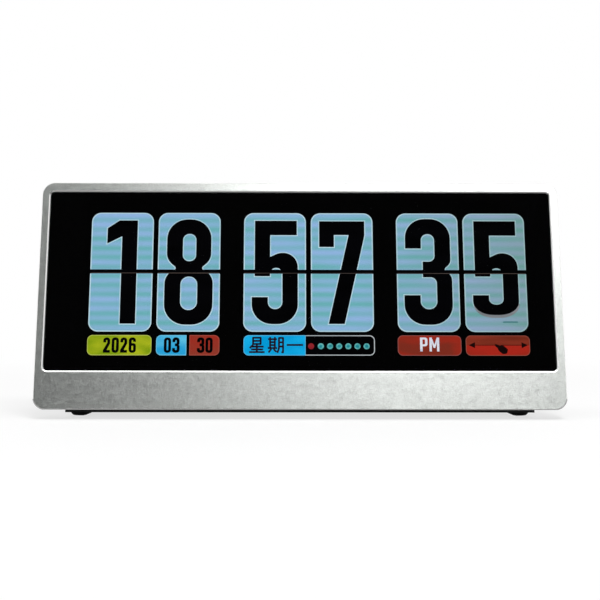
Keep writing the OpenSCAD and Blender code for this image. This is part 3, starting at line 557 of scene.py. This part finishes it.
SCREEN_MARGIN = 1 * MM
LAYER = 0.04 * MM
SCREEN_CORNER = box_on(FACE, "front_polariser")[0]
CARD_WIDTH, CARD_HEIGHT, CARD_RADIUS = 22.96, 45.5, 3.5
CARD_LEFT, CARD_BOTTOM = 1.14, 11.7
PAIR_PITCH, CARD_PITCH = 56.5, 24.8
SPLIT_BOTTOM, SPLIT_TOP = 33.65, 35.2
DIGIT_RISE = 2.93
DIGIT_SCALE = 1.013
DIGIT_FRINGE = 0.34
ROW_BOTTOM, ROW_TOP = 2.85, 10.4
LABEL_RADIUS, LABEL_RIM = 1.9, 0.22


def card_left(place):
    """Left edge of one of the six cards."""
    return CARD_LEFT + place // 2 * PAIR_PITCH + place % 2 * CARD_PITCH


def layer_back(layer):
    """Depth of the back of a layer; layer 0 lies on the cell and higher layers lie before it."""
    return SCREEN_CORNER.y - (2 * layer + 1) * LAYER / 2


def picture_place(x, y, layer):
    """A point of the picture, as a place on the face."""
    corner_x, corner_z = SCREEN_CORNER.x + SCREEN_MARGIN, SCREEN_CORNER.z + SCREEN_MARGIN
    return Vector((corner_x + x * MM, layer_back(layer), corner_z + y * MM))


def picture(name, shapes, finish, layer):
    """One piece of the picture from its shapes, each given as an outline and its holes."""
    bm = bmesh.new()
    for loops in shapes:
        add_slab(bm, [[picture_place(p.x, p.y, layer).xz for p in loop] for loop in loops],
                 layer_back(layer) - LAYER / 2, layer_back(layer))
    finished(name, bm, [finish], "clock", FACE)


# Digits and letters in a condensed upright style, as outlines and holes, about 16 wide and 39 high
GLYPHS = {
    "0": [[(0, -0.3, 7.6), (16.6, -0.3, 7.6), (16.6, 39.6, 7.6), (0, 39.6, 7.6)],
          [(5.7, 5.4, 2.6), (10.9, 5.4, 2.6), (10.9, 33.9, 2.6), (5.7, 33.9, 2.6)]],
    "1": [[(5.4, 0), (11, 0), (11, 39.05), (4.3, 39.05), (0, 36.05), (0, 30.15), (5.4, 32.95)]],
    "2": [[(0, 0), (16, 0), (16, 5.6), (7.2, 5.6), (16, 24.5, 4), (16, 39.4, 7.6), (0.3, 39.4, 7.6),
           (0.3, 27.8), (5.9, 27.8), (5.9, 34, 2.2), (10.4, 34, 2.2), (10.4, 25.6, 2), (0, 5.8, 1)]],
    "3": [[(0, -0.25, 7.5), (17.5, -0.25, 7.5), (17.5, 18.4, 3.5), (14.1, 20.5, 1), (17.1, 22.6, 3.5),
           (17.1, 39.85, 7.4), (0.6, 39.85, 7.2), (0.6, 28.5), (6.4, 28.5), (6.4, 34.0, 2.4),
           (11.3, 34.0, 2.4), (11.3, 23.5, 2.2), (6.9, 23.5), (6.9, 17.55), (11.9, 17.55, 2.2),
           (11.9, 5.55, 2.9), (5.9, 5.55, 2.9), (5.9, 10.8), (0, 10.8)]],
    "5": [[(0, -0.1, 7.4), (16.7, -0.1, 7.4), (16.7, 26.75, 5.4), (9.9, 26.75, 6.1), (6.6, 25.2),
           (6.6, 33.5), (16.35, 33.5), (16.35, 39.05), (1, 39.05), (1, 17.85), (6.6, 17.85),
           (6.6, 21.0, 2.2), (11.1, 21.0, 2.2), (11.1, 5.5, 2.6), (5.85, 5.5, 2.6), (5.85, 10), (0, 10)]],
    "6": [[(0, -0.3, 7.6), (16.7, -0.3, 7.6), (16.7, 24.2, 6.4), (5.7, 24.2), (5.7, 34, 2.4), (11, 34, 2.4),
           (11, 29.4), (16.4, 29.4), (16.4, 39.6, 7.5), (0, 39.6, 7.5)],
          [(5.7, 5.4, 2.6), (11, 5.4, 2.6), (11, 18.6, 2.6), (5.7, 18.6, 2.6)]],
    "7": [[(3.3, 0), (9.1, 0), (16.6, 33.4), (16.6, 38.9), (0, 38.9), (0, 29), (5.4, 29), (5.4, 33.6),
           (10.8, 33.6)]],
    "8": [[(0, -0.35, 7.6), (17.5, -0.35, 7.6), (17.5, 18.6, 5.5), (12.9, 20.7, 0.8), (16.8, 24, 5.5),
           (16.8, 39.5, 7.4), (0.65, 39.5, 7.4), (0.65, 24, 5.5), (4.6, 20.7, 0.8), (0, 18.6, 5.5)],
          [(5.8, 5.1, 2.95), (11.9, 5.1, 2.95), (11.9, 17.65, 2.95), (5.8, 17.65, 2.95)],
          [(6.45, 23.5, 2.3), (11.3, 23.5, 2.3), (11.3, 33.9, 2.3), (6.45, 33.9, 2.3)]],
    "M": [[(0, 0), (5.4, 0), (5.4, 25), (9.4, 10), (13.2, 10), (17.2, 25), (17.2, 0), (22.6, 0),
           (22.6, 39.4), (17.2, 39.4), (11.3, 19), (5.4, 39.4), (0, 39.4)]],
    "P": [[(0, 0), (5.6, 0), (5.6, 14.6), (17, 14.6, 6), (17, 39.4, 6), (0, 39.4)],
          [(5.6, 19.9), (11.4, 19.9, 2.4), (11.4, 34.1, 2.4), (5.6, 34.1)]],
}
GLYPH_HEIGHT, GLYPH_GAP = 39.4, 4.5


def glyph(sign, x, y, height, widen=1.0):
    """Outlines of one sign with its lower left corner at x, y."""
    scale = height / GLYPH_HEIGHT
    return [
        [Vector((x + p.x * scale * widen, y + p.y * scale)) for p in rounded(loop, 10)]
        for loop in GLYPHS[sign]
    ]


def glyph_width(sign):
    """Width of a sign in its own units."""
    return max(corner[0] for corner in GLYPHS[sign][0])


def word(signs, x, y, height, pitch, widen):
    """Outlines of a word whose signs start one pitch apart, or follow on each other where pitch is 0."""
    made = []
    for sign in signs:
        made.append(glyph(sign, x, y, height, widen))
        x += pitch or (glyph_width(sign) + GLYPH_GAP) * height / GLYPH_HEIGHT * widen
    return made


def widened(loop, reach):
    """An outline moved outwards by a reach, with its corners kept."""
    area = sum(a.x * b.y - b.x * a.y for a, b in zip(loop, loop[1:] + loop[:1]))
    side = 1 if area > 0 else -1
    made = []
    for before, here, after in zip(loop[-1:] + loop[:-1], loop, loop[1:] + loop[:1]):
        first, second = (here - before).normalized(), (after - here).normalized()
        outward = Vector((first.y + second.y, -first.x - second.x)) * side
        share = max(outward.length_squared / 2, 0.5)
        made.append(here + outward * reach / share)
    return made


def strokes(places, width):
    """Strokes from x, y to x, y as thin plates with square ends."""
    made = []
    for x1, y1, x2, y2 in places:
        along = Vector((x2 - x1, y2 - y1)).normalized() * width / 2
        across = Vector((-along.y, along.x))
        start, end = Vector((x1, y1)) - along * 0.5, Vector((x2, y2)) + along * 0.5
        made.append([[start - across, end - across, end + across, start + across]])
    return made


# Geometry trees that repeat a piece

def node_tree(name, sockets):
    """A new geometry tree with named inputs, its result, and the function that adds nodes to it."""
    tree = bpy.data.node_groups.new(name, "GeometryNodeTree")
    tree.interface.new_socket("Geometry", in_out="OUTPUT", socket_type="NodeSocketGeometry")
    for label, kind in sockets:
        tree.interface.new_socket(label, in_out="INPUT", socket_type="NodeSocket" + kind)
    given = tree.nodes.new("NodeGroupInput").outputs
    result = tree.nodes.new("NodeGroupOutput").inputs[0]
    return tree, given, result, partial(add_node, tree)


def finish_tree(tree, result, add, instances, finish):
    """Ends a tree: real meshes with their finish."""
    real = add("GeometryNodeRealizeInstances", {"Geometry": instances})
    tree.links.new(add("GeometryNodeSetMaterial", {"Geometry": real, "Material": finish}), result)
    return tree


def card_tree():
    """Rounded plates in pairs: the flip cards of hours, minutes and seconds."""
    tree, given, result, add = node_tree("flip card pairs", [
        ("Width", "Float"), ("Height", "Float"), ("Corner radius", "Float"), ("Thickness", "Float"),
        ("Pairs", "Int"), ("Pair pitch", "Float"), ("Card pitch", "Float"), ("Finish", "Material"),
    ])
    outline = add("GeometryNodeCurvePrimitiveQuadrilateral",
                  {"Width": given["Width"], "Height": given["Height"]}, mode="RECTANGLE")
    bent = add("GeometryNodeFilletCurve",
               {"Curve": outline, "Radius": given["Corner radius"], "Count": 12}, mode="POLY")
    flat = add("GeometryNodeFillCurve", {"Curve": bent}, mode="NGONS")
    raised = add("GeometryNodeExtrudeMesh",
                 {"Mesh": flat, "Offset Scale": given["Thickness"], "Individual": False})
    both = add("GeometryNodeJoinGeometry", {"Geometry": raised})
    tree.links.new(add("GeometryNodeFlipFaces", {"Mesh": flat}), both.node.inputs[0])
    plates = add("GeometryNodeMergeByDistance", {"Geometry": both, "Distance": WELD})
    for count, pitch in ((2, given["Card pitch"]), (given["Pairs"], given["Pair pitch"])):
        offset = add("ShaderNodeCombineXYZ", {"X": pitch})
        line = add("GeometryNodeMeshLine", {"Count": count, "Offset": offset})
        plates = add("GeometryNodeInstanceOnPoints", {"Points": line, "Instance": plates})
    return finish_tree(tree, result, add, plates, given["Finish"])


def places_tree():
    """One piece repeated at the points of another object, turned about Z where it stands at the left."""
    tree, given, result, add = node_tree("pieces at places", [
        ("Piece", "Object"), ("Places", "Object"), ("Left turn", "Float"), ("Finish", "Material"),
    ])
    piece = add("GeometryNodeObjectInfo", {"Object": given["Piece"]}, "Geometry")
    spots = add("GeometryNodeObjectInfo", {"Object": given["Places"]}, "Geometry")
    side = add("ShaderNodeSeparateXYZ", {0: add("GeometryNodeInputPosition")}, "X")
    turn = add_maths(tree, "MULTIPLY", add_maths(tree, "LESS_THAN", side, 0.0), given["Left turn"])
    rotation = add("ShaderNodeCombineXYZ", {"Z": turn})
    pieces = add("GeometryNodeInstanceOnPoints", {"Points": spots, "Instance": piece, "Rotation": rotation})
    return finish_tree(tree, result, add, pieces, given["Finish"])


CARDS = card_tree()
PLACES = places_tree()


def grown(name, tree, values, body, place, replaced=()):
    """Runs a geometry tree with its inputs set, and makes the result a plain finished piece."""
    holder = in_scene(name + ".source", bpy.data.meshes.new(name))
    modifier = holder.modifiers.new("grow", "NODES")
    modifier.node_group = tree
    sockets = {s.name: s.identifier for s in tree.interface.items_tree if s.in_out == "INPUT"}
    for label, value in values.items():
        modifier[sockets[label]] = value
    holder.update_tag()
    bpy.context.view_layer.update()
    seen = holder.evaluated_get(bpy.context.evaluated_depsgraph_get())
    bm = bmesh.new()
    bm.from_mesh(bpy.data.meshes.new_from_object(seen))
    for face in bm.faces:
        face.material_index = 0
    bpy.data.objects.remove(holder)
    finished(name, bm, [values["Finish"]], body, place, replaced)


def at_places(name, bm, points, finish, body, plane, replaced=(), left_turn=0.0):
    """A shape set at each point of a plane, as one piece."""
    spots = bpy.data.meshes.new(name + " places")
    spots.from_pydata(points, [], [])
    places = bpy.data.objects.new(name + " places", spots)
    shape = bpy.data.objects.new(name + " shape", mesh_of(name + " shape", bm))
    grown(name, PLACES, {"Piece": shape, "Places": places, "Left turn": left_turn, "Finish": finish},
          body, plane, replaced)
    bpy.data.objects.remove(places)
    bpy.data.objects.remove(shape)


# The cards and their digits

def cards():
    """The pale plates of the cards: a brighter rim, and the streaked card on it."""
    middle_x, middle_y = CARD_LEFT + CARD_WIDTH / 2, CARD_BOTTOM + CARD_HEIGHT / 2
    for name, inset, layer, finish in (("card_rims", 0, 0, CARD_EDGE), ("card_faces", 0.4, 1, CARD_LIGHT)):
        middle = Matrix.Translation(picture_place(middle_x, middle_y, layer))
        grown(name, CARDS, {
            "Width": (CARD_WIDTH - 2 * inset) * MM, "Height": (CARD_HEIGHT - 2 * inset) * MM,
            "Corner radius": (CARD_RADIUS - inset) * MM, "Thickness": LAYER / 2, "Pairs": 3,
            "Pair pitch": PAIR_PITCH * MM, "Card pitch": CARD_PITCH * MM, "Finish": finish,
        }, "clock", FACE @ middle @ OUTWARD)


def big_digits():
    """Outlines of the six big digits; the last is squashed below the split, as its card is coming down."""
    made = []
    for place, sign in enumerate("185735"):
        x = card_left(place) + (CARD_WIDTH - glyph_width(sign) * DIGIT_SCALE) / 2
        made.append(glyph(sign, x, CARD_BOTTOM + DIGIT_RISE, GLYPH_HEIGHT * DIGIT_SCALE))
    bend, squash = SPLIT_BOTTOM + 0.8, 0.009
    for point in made[-1][0]:
        below = min(0, point.y - bend)
        point.y += squash * below * below
    return made


def across_cards(inset, bottom, top):
    """A flat box across each of the six cards, set in from the card's sides."""
    return [
        [box_outline(card_left(place) + inset, bottom, CARD_WIDTH - 2 * inset, top - bottom)]
        for place in range(6)
    ]


def digits():
    """Big digits with their pale fringe, the dark split across each card, and the light along it."""
    shapes = big_digits()
    picture("digit_fringes", [[widened(loops[0], DIGIT_FRINGE)] for loops in shapes], CARD_EDGE, 2)
    counters = [[widened(hole, -DIGIT_FRINGE)] for loops in shapes for hole in loops[1:]]
    picture("digit_counters", counters, CARD_LIGHT, 5)
    shadow_fall, shadow_top = Vector((0.15, -1.1)), CARD_BOTTOM + 12
    shadow = [p + shadow_fall for p in shapes[-1][0] if p.y < shadow_top]
    grey = lit("flip shadow", (120, 124, 128), (148, 150, 154), 3 * MM)
    picture("flip_shadow", [[shadow]], grey, 3)
    picture("big_digits", shapes, INK_LIGHT, 4)
    overhang, hair_inset, hair_low, hair_high = 0.3, 0.2, SPLIT_BOTTOM + 0.1, SPLIT_BOTTOM + 0.3
    picture("card_splits", across_cards(-overhang, SPLIT_BOTTOM, SPLIT_TOP), INK_LIGHT, 6)
    hair = lit("split hairline", (62, 54, 50), (96, 84, 78), 5 * MM)
    picture("split_hairlines", across_cards(hair_inset, hair_low, hair_high), hair, 7)
    dark_teal = lit("flip edge", (56, 116, 118), (76, 130, 132), 3 * MM)
    from_right, rise, length, thickness = 9.2, 3.5, 5.4, 0.5
    edge_left = card_left(5) + CARD_WIDTH - from_right
    picture("flip_edge", [[box_outline(edge_left, CARD_BOTTOM + rise, length, thickness)]], dark_teal, 2)


# The date row

# The weekday's three signs: left edge, width, and strokes in hundredths of the width and height
DAY_SIGNS = (
    (59.8, 5.75, (
        (26, 56, 26, 96), (74, 56, 74, 96), (26, 96, 74, 96), (26, 76, 74, 76),
        (26, 56, 74, 56), (24, 49, 7, 31), (17, 39, 90, 39), (17, 21, 86, 21),
        (4, 4, 96, 4), (50, 49, 50, 4))),
    (66.8, 5.75, (
        (12, 30, 12, 98), (42, 30, 42, 98), (2, 87, 52, 87), (12, 68, 42, 68),
        (12, 49, 42, 49), (0, 30, 54, 30), (18, 22, 4, 4), (36, 22, 50, 7),
        (68, 28, 68, 95), (68, 28, 59, 2), (94, 3, 94, 95), (68, 95, 94, 95),
        (68, 67, 94, 67), (68, 40, 94, 40), (86, 3, 94, 3))),
    (73.4, 6.2, ((5, 50, 95, 50),)),
)


def label_outline(x, width, inset, ends):
    """Outline of a label, set in from its edges; ends says whether both its ends or one of them is round."""
    radius = LABEL_RADIUS - inset
    left = radius if ends in ("both", "left") else 0
    right = radius if ends in ("both", "right") else 0
    return box_outline(x + inset, ROW_BOTTOM + inset, width - 2 * inset, ROW_TOP - ROW_BOTTOM - 2 * inset,
                       (left, right, right, left))


def lit_label(name, x, width, first, second, rim, ends="both"):
    """A coloured label of the date row with its paler rim."""
    rim_light = lit(f"{name} rim", rim, rim, 3 * MM)
    picture(f"{name}_rim", [[label_outline(x, width, 0, ends)]], rim_light, 0)
    light = lit(f"{name} light", first, second, 4 * MM, stretch=(0.4, 1, 0.8))
    picture(f"{name}_field", [[label_outline(x, width, LABEL_RIM, ends)]], light, 1)


def date_numbers():
    """Year, month and day in dark figures."""
    bottom, height, widen, bolder, tighter = 3.9, 5.45, 1.04, 0.12, -0.08
    figures = []
    for signs, x, pitch in (("2026", 6.95, 3.1), ("03", 29.0, 3.0), ("30", 41.0, 3.1)):
        figures += word(signs, x, bottom, height, pitch, widen)
    bold = [[widened(loops[0], bolder)] + [widened(hole, tighter) for hole in loops[1:]] for loops in figures]
    picture("date_digits", bold, INK_LIGHT, 2)


def weekday():
    """The weekday's signs in dark strokes."""
    bottom, height, thickness = 3.85, 5.8, 0.68
    drawn = []
    for left, width, sign in DAY_SIGNS:
        for x1, y1, x2, y2 in sign:
            drawn.append((left + x1 * width / 100, bottom + y1 * height / 100,
                          left + x2 * width / 100, bottom + y2 * height / 100))
    ink = lit("weekday ink", (26, 14, 22), (50, 26, 32), 3 * MM)
    picture("weekday_signs", strokes(drawn, thickness), ink, 2)


def half_of_day():
    """The sign for the afternoon, in pale letters."""
    left, bottom, height, widen = 122.1, 4.4, 5.2, 1.2
    white = lit("half light", (196, 200, 224), (232, 234, 244), 3 * MM)
    picture("half_letters", word("PM", left, bottom, height, 0, widen), white, 2)


def lamp_box():
    """The dark box of the lamps, which goes on from the weekday's label, with its pale edge."""
    left, right, edge_width = 80.4, 105.63, 0.32
    pale = lit("lamp box edge", (172, 180, 184), (202, 206, 208), 3 * MM)
    for name, inset, finish, layer in (("lamp_box_edge", 0, pale, 0), ("lamp_box", edge_width, INK_LIGHT, 1)):
        outline = label_outline(left - inset, right - left + inset, inset, "right")
        picture(name, [[outline]], finish, layer)


def lamps():
    """Seven round lamps, one for each day: today's is red, and the others have a darker heart."""
    lamp_radius, heart_radius = 1.12, 0.6
    today_x, others_x, lamp_y, pitch = 82.4, 85.95, 6.3, 3.33
    even = (1, 1, 1)
    red = lit("first lamp", (126, 27, 36), (150, 38, 44), 2 * MM)
    teal = lit("other lamps", (74, 160, 160), (112, 192, 190), 1 * MM, even)
    blue = lit("lamp hearts", (20, 128, 142), (46, 150, 160), 1 * MM, even)
    for name, radius, x, count, layer, finish in (
            ("lamp_today", lamp_radius, today_x, 1, 2, red),
            ("lamps_other", lamp_radius, others_x, 6, 2, teal),
            ("lamp_hearts", heart_radius, others_x, 6, 3, blue)):
        bm = bmesh.new()
        add_turned(bm, [(radius * MM, -LAYER / 2), (radius * MM, 0)], OUTWARD, 24)
        places = [picture_place(x + i * pitch, lamp_y, layer) for i in range(count)]
        at_places(name, bm, places, finish, "clock", FACE)


def swipe_sign(left, width):
    """The swipe sign on its label: a shaded upper half, a line with an arrow at each end, and a hand."""
    line_y, line_width, reach = 6.75, 0.2, 1.1
    signs = []
    corner = LABEL_RADIUS - LABEL_RIM
    upper_half = box_outline(left + LABEL_RIM, line_y, width - 2 * LABEL_RIM, ROW_TOP - LABEL_RIM - line_y,
                             (0, 0, corner, corner))
    shade = lit("swipe shade", (112, 42, 26), (142, 52, 36), 3 * MM)
    picture("swipe_shade", [[upper_half]], shade, 2)
    # The tip and the back of each arrow, and where its line ends by the hand
    for tip, back, line_end in ((139.8, 142.1, 149.6), (161.4, 159.1, 151.6)):
        signs.append([rounded([(tip, line_y), (back, line_y - reach), (back, line_y + reach)])])
        signs += strokes([(back, line_y, line_end, line_y)], line_width)
    hand = rounded([
        (148.9, 7.4, 0.35), (149.9, 7.1), (151.0, 6.7, 0.2), (152.5, 6.6, 0.6), (154.1, 5.2, 0.8),
        (153.7, 3.6, 0.7), (152.2, 3.4, 0.7), (150.7, 4.7, 0.5), (150.3, 5.7), (149.5, 6.4, 0.3),
    ], 5)
    ink = lit("swipe ink", (20, 6, 6), (30, 10, 8), 3 * MM)
    picture("swipe_sign", signs + [[hand]], ink, 3)


def date_row():
    """The row under the cards: year, month, day, weekday with its seven lamps, half of day and swipe sign."""
    swipe_left, swipe_width = 138.78, 23.41
    lit_label("year", 1.04, 23.31, (132, 160, 18), (184, 192, 34), (196, 204, 96))
    lit_label("month", 26.05, 11.0, (44, 168, 224), (96, 200, 236), (120, 206, 238), "left")
    lit_label("day", 38.15, 10.9, (150, 58, 44), (166, 44, 32), (176, 84, 72), "right")
    lit_label("weekday", 57.8, 22.6, (2, 160, 222), (24, 182, 240), (96, 190, 236), "left")
    lit_label("half", 113.97, 23.2, (130, 46, 32), (164, 42, 28), (150, 84, 80))
    lit_label("swipe", swipe_left, swipe_width, (148, 42, 28), (174, 40, 28), (150, 80, 68))
    date_numbers()
    weekday()
    half_of_day()
    lamp_box()
    lamps()
    swipe_sign(swipe_left, swipe_width)


# Pieces of the back

LEVEL = Matrix.Identity(4)

# Sections of a foot from the desk up: the rise as a share of its height, and the reach to the clock's middle,
# outwards and sideways as shares of its radius
FOOT_SECTIONS = (
    (0.0, 0.16, 0.68, 0.5), (0.04, 0.26, 0.75, 0.6), (0.22, 0.46, 0.84, 0.74), (0.45, 0.7, 0.91, 0.87),
    (0.66, 0.93, 0.97, 0.97), (0.72, 0.98, 0.99, 0.99), (0.76, 1.0, 1.0, 1.0), (1.0, 1.0, 1.0, 1.0),
)


def cross_outline(reach, half_width):
    """Outline of a cross recess, quarter by quarter."""
    arm = [Vector((half_width, -reach)), Vector((half_width, -half_width)), Vector((reach, -half_width))]
    points = []
    for _ in range(4):
        points += arm
        arm = [Vector((-p.y, p.x)) for p in arm]
    return points


def screw_shape(length, head, shaft, head_height):
    """A countersunk screw with a cross recess, its head at the origin and its point along -Y."""
    recess, taper, steps = 0.55 * head_height, 0.8, 32
    rim, cross = circle(head / 2, steps), cross_outline(0.3 * head, 0.065 * head)
    bm = bmesh.new()
    outer, upper = add_row(bm, rim, 0), add_row(bm, cross, 0)
    lower = add_row(bm, [p * taper for p in cross], -recess)
    top = outer + upper
    for corners in tessellate_polygon([rim, cross]):
        bm.faces.new([top[i] for i in corners])
    add_band(bm, upper, lower)
    bm.faces.new(lower)
    above = outer
    for radius, depth in ((shaft / 2, head_height), (shaft / 2, length - shaft / 2), (shaft / 10, length)):
        below = add_row(bm, circle(radius, steps), -depth)
        add_band(bm, above, below)
        above = below
    bm.faces.new(above)
    return bm


def cover_screws():
    """Six countersunk screws that hold the back to the front frame."""
    shaft, head_height = 2.1 * MM, 1.3 * MM
    boxes = islands("cover_screws", FACE)
    low, high = boxes[0]
    screw = screw_shape(high.y - low.y, high.x - low.x, shaft, head_height)
    heads = [((a.x + b.x) / 2, b.y, (a.z + b.z) / 2) for a, b in boxes]
    at_places("countersunk_screws", screw, heads, FINISHES["screw_black"], "clock", FACE,
              ["cover_screws"])


def rubber_feet():
    """Four round rubber feet that stand on their outer part and slope up towards the middle of the clock."""
    boxes = islands("rubber_feet", LEVEL)
    low, high = boxes[0]
    radius, height = (high.x - low.x) / 2, high.z - low.z
    bm = bmesh.new()
    add_loft(bm, [
        [(p.x * (outer if p.x > 0 else inner), p.y * side, height * rise) for p in circle(radius, 48)]
        for rise, inner, outer, side in FOOT_SECTIONS
    ])
    stands = [((a.x + b.x) / 2, (a.y + b.y) / 2, a.z) for a, b in boxes]
    at_places("sloped_feet", bm, stands, FINISHES["rubber"], "clock", LEVEL, ["rubber_feet"],
              left_turn=math.pi)


def softened(name, node, body, slot, radius, chosen, segments=3):
    """The node's own shape with the chosen ones of its sharp outer edges rounded."""
    flat, sharp = math.radians(0.5), math.radians(40)
    bm = copy_of(node)
    bmesh.ops.dissolve_limit(bm, angle_limit=flat, verts=bm.verts, edges=bm.edges)
    bm.normal_update()
    edges = [edge for edge in bm.edges if edge.is_manifold and edge.is_convex
             and edge.calc_face_angle() > sharp and chosen(edge)]
    bmesh.ops.bevel(bm, geom=edges, offset=radius, segments=segments, profile=0.5, affect="EDGES",
                    clamp_overlap=True)
    finished(name, bm, [FINISHES[slot]], body, None, [node])


def keys():
    """The three keys and the power slider, with softened edges, and ribs on the slider."""
    outside, clear = BACK.inverted(), 0.2 * MM

    def proud(edge):
        return all((outside @ v.co).y > clear for v in edge.verts)

    for part in ("menu", "up", "down"):
        softened(f"{part}_key_cap", f"button_{part}", f"{part}_key", "key_plastic", 0.3 * MM, proud)
    softened("slider_thumb", "power_slider", "power_key", "key_plastic", 0.2 * MM, proud)
    low, high = box_on(BACK, "power_slider")
    wide, tall, reach, step = 0.3 * MM, 2.2 * MM, 0.2 * MM, 0.7 * MM
    bm = bmesh.new()
    add_slab(bm, [box_outline(-wide / 2, -tall / 2, wide, tall)], -reach / 2, reach / 2)
    ribs = [((low.x + high.x) / 2 + i * step, high.y, (low.z + high.z) / 2) for i in (-1, 0, 1)]
    at_places("slider_ribs", bm, ribs, FINISHES["key_plastic"], "power_key", BACK)


def housing():
    """The rear cover, with its standing edges rounded."""
    side = max(v.co.x for v in nodes["rubber_feet"].data.vertices) + 0.5 * MM
    frame_back = box_on(FACE, "front_frame")[1].y
    corner_width, clear = 8.5 * MM, 2.2 * MM
    on_face = FACE.inverted()

    def standing(edge):
        ends = [v.co for v in edge.verts]
        outer = all(side - corner_width < abs(p.x) < side + 0.1 * MM for p in ends)
        behind = all((on_face @ p).y > frame_back + clear for p in ends)
        return outer and behind and all(p.z > clear for p in ends)

    softened("housing", "rear_cover", "clock", "rear_plastic", 1.4 * MM, standing, 4)


cards()
digits()
date_row()
aluminium_frame()
glass_pane()
cover_screws()
rubber_feet()
keys()
housing()


# Every CAD piece that still shows gets its finish

for row in frame["record"]["subparts"]:
    node = nodes[row["node"]]
    node.data.materials.clear()
    node.data.materials.append(FINISHES[row["material_slot"]])


# Floor, light and camera

# Strength of the dim room, and of the floor where the clock mirrors it
ROOM_LIGHT = 0.012
FLOOR_IN_METAL = 0.15
LAMP_TARGET = Vector((0, -15 * MM, 45 * MM))
WHITE = (1, 1, 1, 1)


def stage():
    """A pale floor that is white to the eye and keeps the clock's shadow."""
    reach, sink = 12, 0.05 * MM
    dim_inside, full_outside, dim_share = 0.12, 0.4, 0.7
    bm = bmesh.new()
    square = box_outline(-reach, -reach, 2 * reach, 2 * reach)
    bm.faces.new([bm.verts.new((p.x, p.y, -sink)) for p in square])
    made = Finish("pale floor", Base_Color=(0.85, 0.85, 0.85, 1), Roughness=0.7)
    maths = partial(add_maths, made.tree)
    path = made.tree.nodes.new("ShaderNodeLightPath").outputs
    seen = maths("MAXIMUM", path["Is Camera Ray"], path["Is Glossy Ray"])
    seen = maths("MAXIMUM", seen, path["Is Transmission Ray"])
    far = made.node("ShaderNodeVectorMath", {0: made.place}, "Value", operation="LENGTH")
    share = made.spread(far, dim_share, 1.0, dim_inside, full_outside, interpolation_type="SMOOTHSTEP")
    strength = made.spread(path["Is Glossy Ray"], 1.0, FLOOR_IN_METAL, 0.0, 1.0)
    white = made.node("ShaderNodeEmission", {"Color": WHITE, "Strength": strength})
    mixed = made.node("ShaderNodeMixShader", {
        0: maths("MULTIPLY", seen, share), 1: made.shader.outputs[0], 2: white,
    })
    made.tree.links.new(mixed, made.tree.nodes["Material Output"].inputs["Surface"])
    floor = in_scene("floor", mesh_of("floor", bm))
    floor.data.materials.append(made.material)


def surroundings():
    """A pale studio: white behind the clock, and a dim room in front of it."""
    world = bpy.data.worlds.new("studio")
    world.use_nodes = True
    bpy.context.scene.world = world
    tree = world.node_tree
    maths, spread = partial(add_maths, tree), partial(add_spread, tree)
    generated = add_node(tree, "ShaderNodeTexCoord", output="Generated")
    toward = add_node(tree, "ShaderNodeSeparateXYZ", {0: generated}).node.outputs
    away = maths("ADD", maths("ABSOLUTE", toward["X"]), toward["Y"])
    behind = spread(away, 0.0, 1.0, 0.0, 0.45)
    room = spread(behind, ROOM_LIGHT, 0.75, 0.0, 1.0)
    path = tree.nodes.new("ShaderNodeLightPath").outputs
    mirrored = maths("MAXIMUM", path["Is Glossy Ray"], path["Is Transmission Ray"])
    seen = maths("MAXIMUM", maths("MULTIPLY", mirrored, behind), path["Is Camera Ray"])
    strength = spread(seen, room, 1.0, 0.0, 1.0)
    background = tree.nodes["Background"]
    tree.links.new(strength, background.inputs["Strength"])
    background.inputs["Color"].default_value = WHITE


def lamp(name, azimuth, elevation, distance, width, height, power):
    """A soft lamp aimed at the middle of the face; azimuth runs to the right of the viewer."""
    data = bpy.data.lights.new(name, "AREA")
    data.shape, data.size, data.size_y, data.energy = "RECTANGLE", width, height, power
    made = in_scene(name, data)
    a, e = math.radians(azimuth), math.radians(elevation)
    away = Vector((math.sin(a) * math.cos(e), -math.cos(a) * math.cos(e), math.sin(e)))
    made.location = LAMP_TARGET + away * distance
    made.rotation_euler = away.to_track_quat("Z", "Y").to_euler()


def camera():
    """The viewer, a little left of the middle and level with the upper half of the face."""
    place = (-5.86 * MM, -528.6 * MM, 51.6 * MM)
    look, roll = Vector((0.0111, 0.99979, -0.01745)), 0.0019
    data = bpy.data.cameras.new("viewer")
    data.lens, data.sensor_width = 84.6, 36
    data.clip_start, data.clip_end = 0.01, 50
    made = in_scene("viewer", data)
    made.location = place
    turn = look.to_track_quat("-Z", "Y").to_matrix() @ Matrix.Rotation(roll, 3, "Z")
    made.rotation_euler = turn.to_euler()
    bpy.context.scene.camera = made


stage()
surroundings()
lamp("key", azimuth=17.5, elevation=57, distance=1.0, width=0.36, height=0.25, power=5.85)
lamp("overhead", azimuth=0, elevation=84, distance=1.0, width=0.9, height=0.4, power=3.07)
camera()
bpy.context.scene.view_settings.view_transform = "Standard"
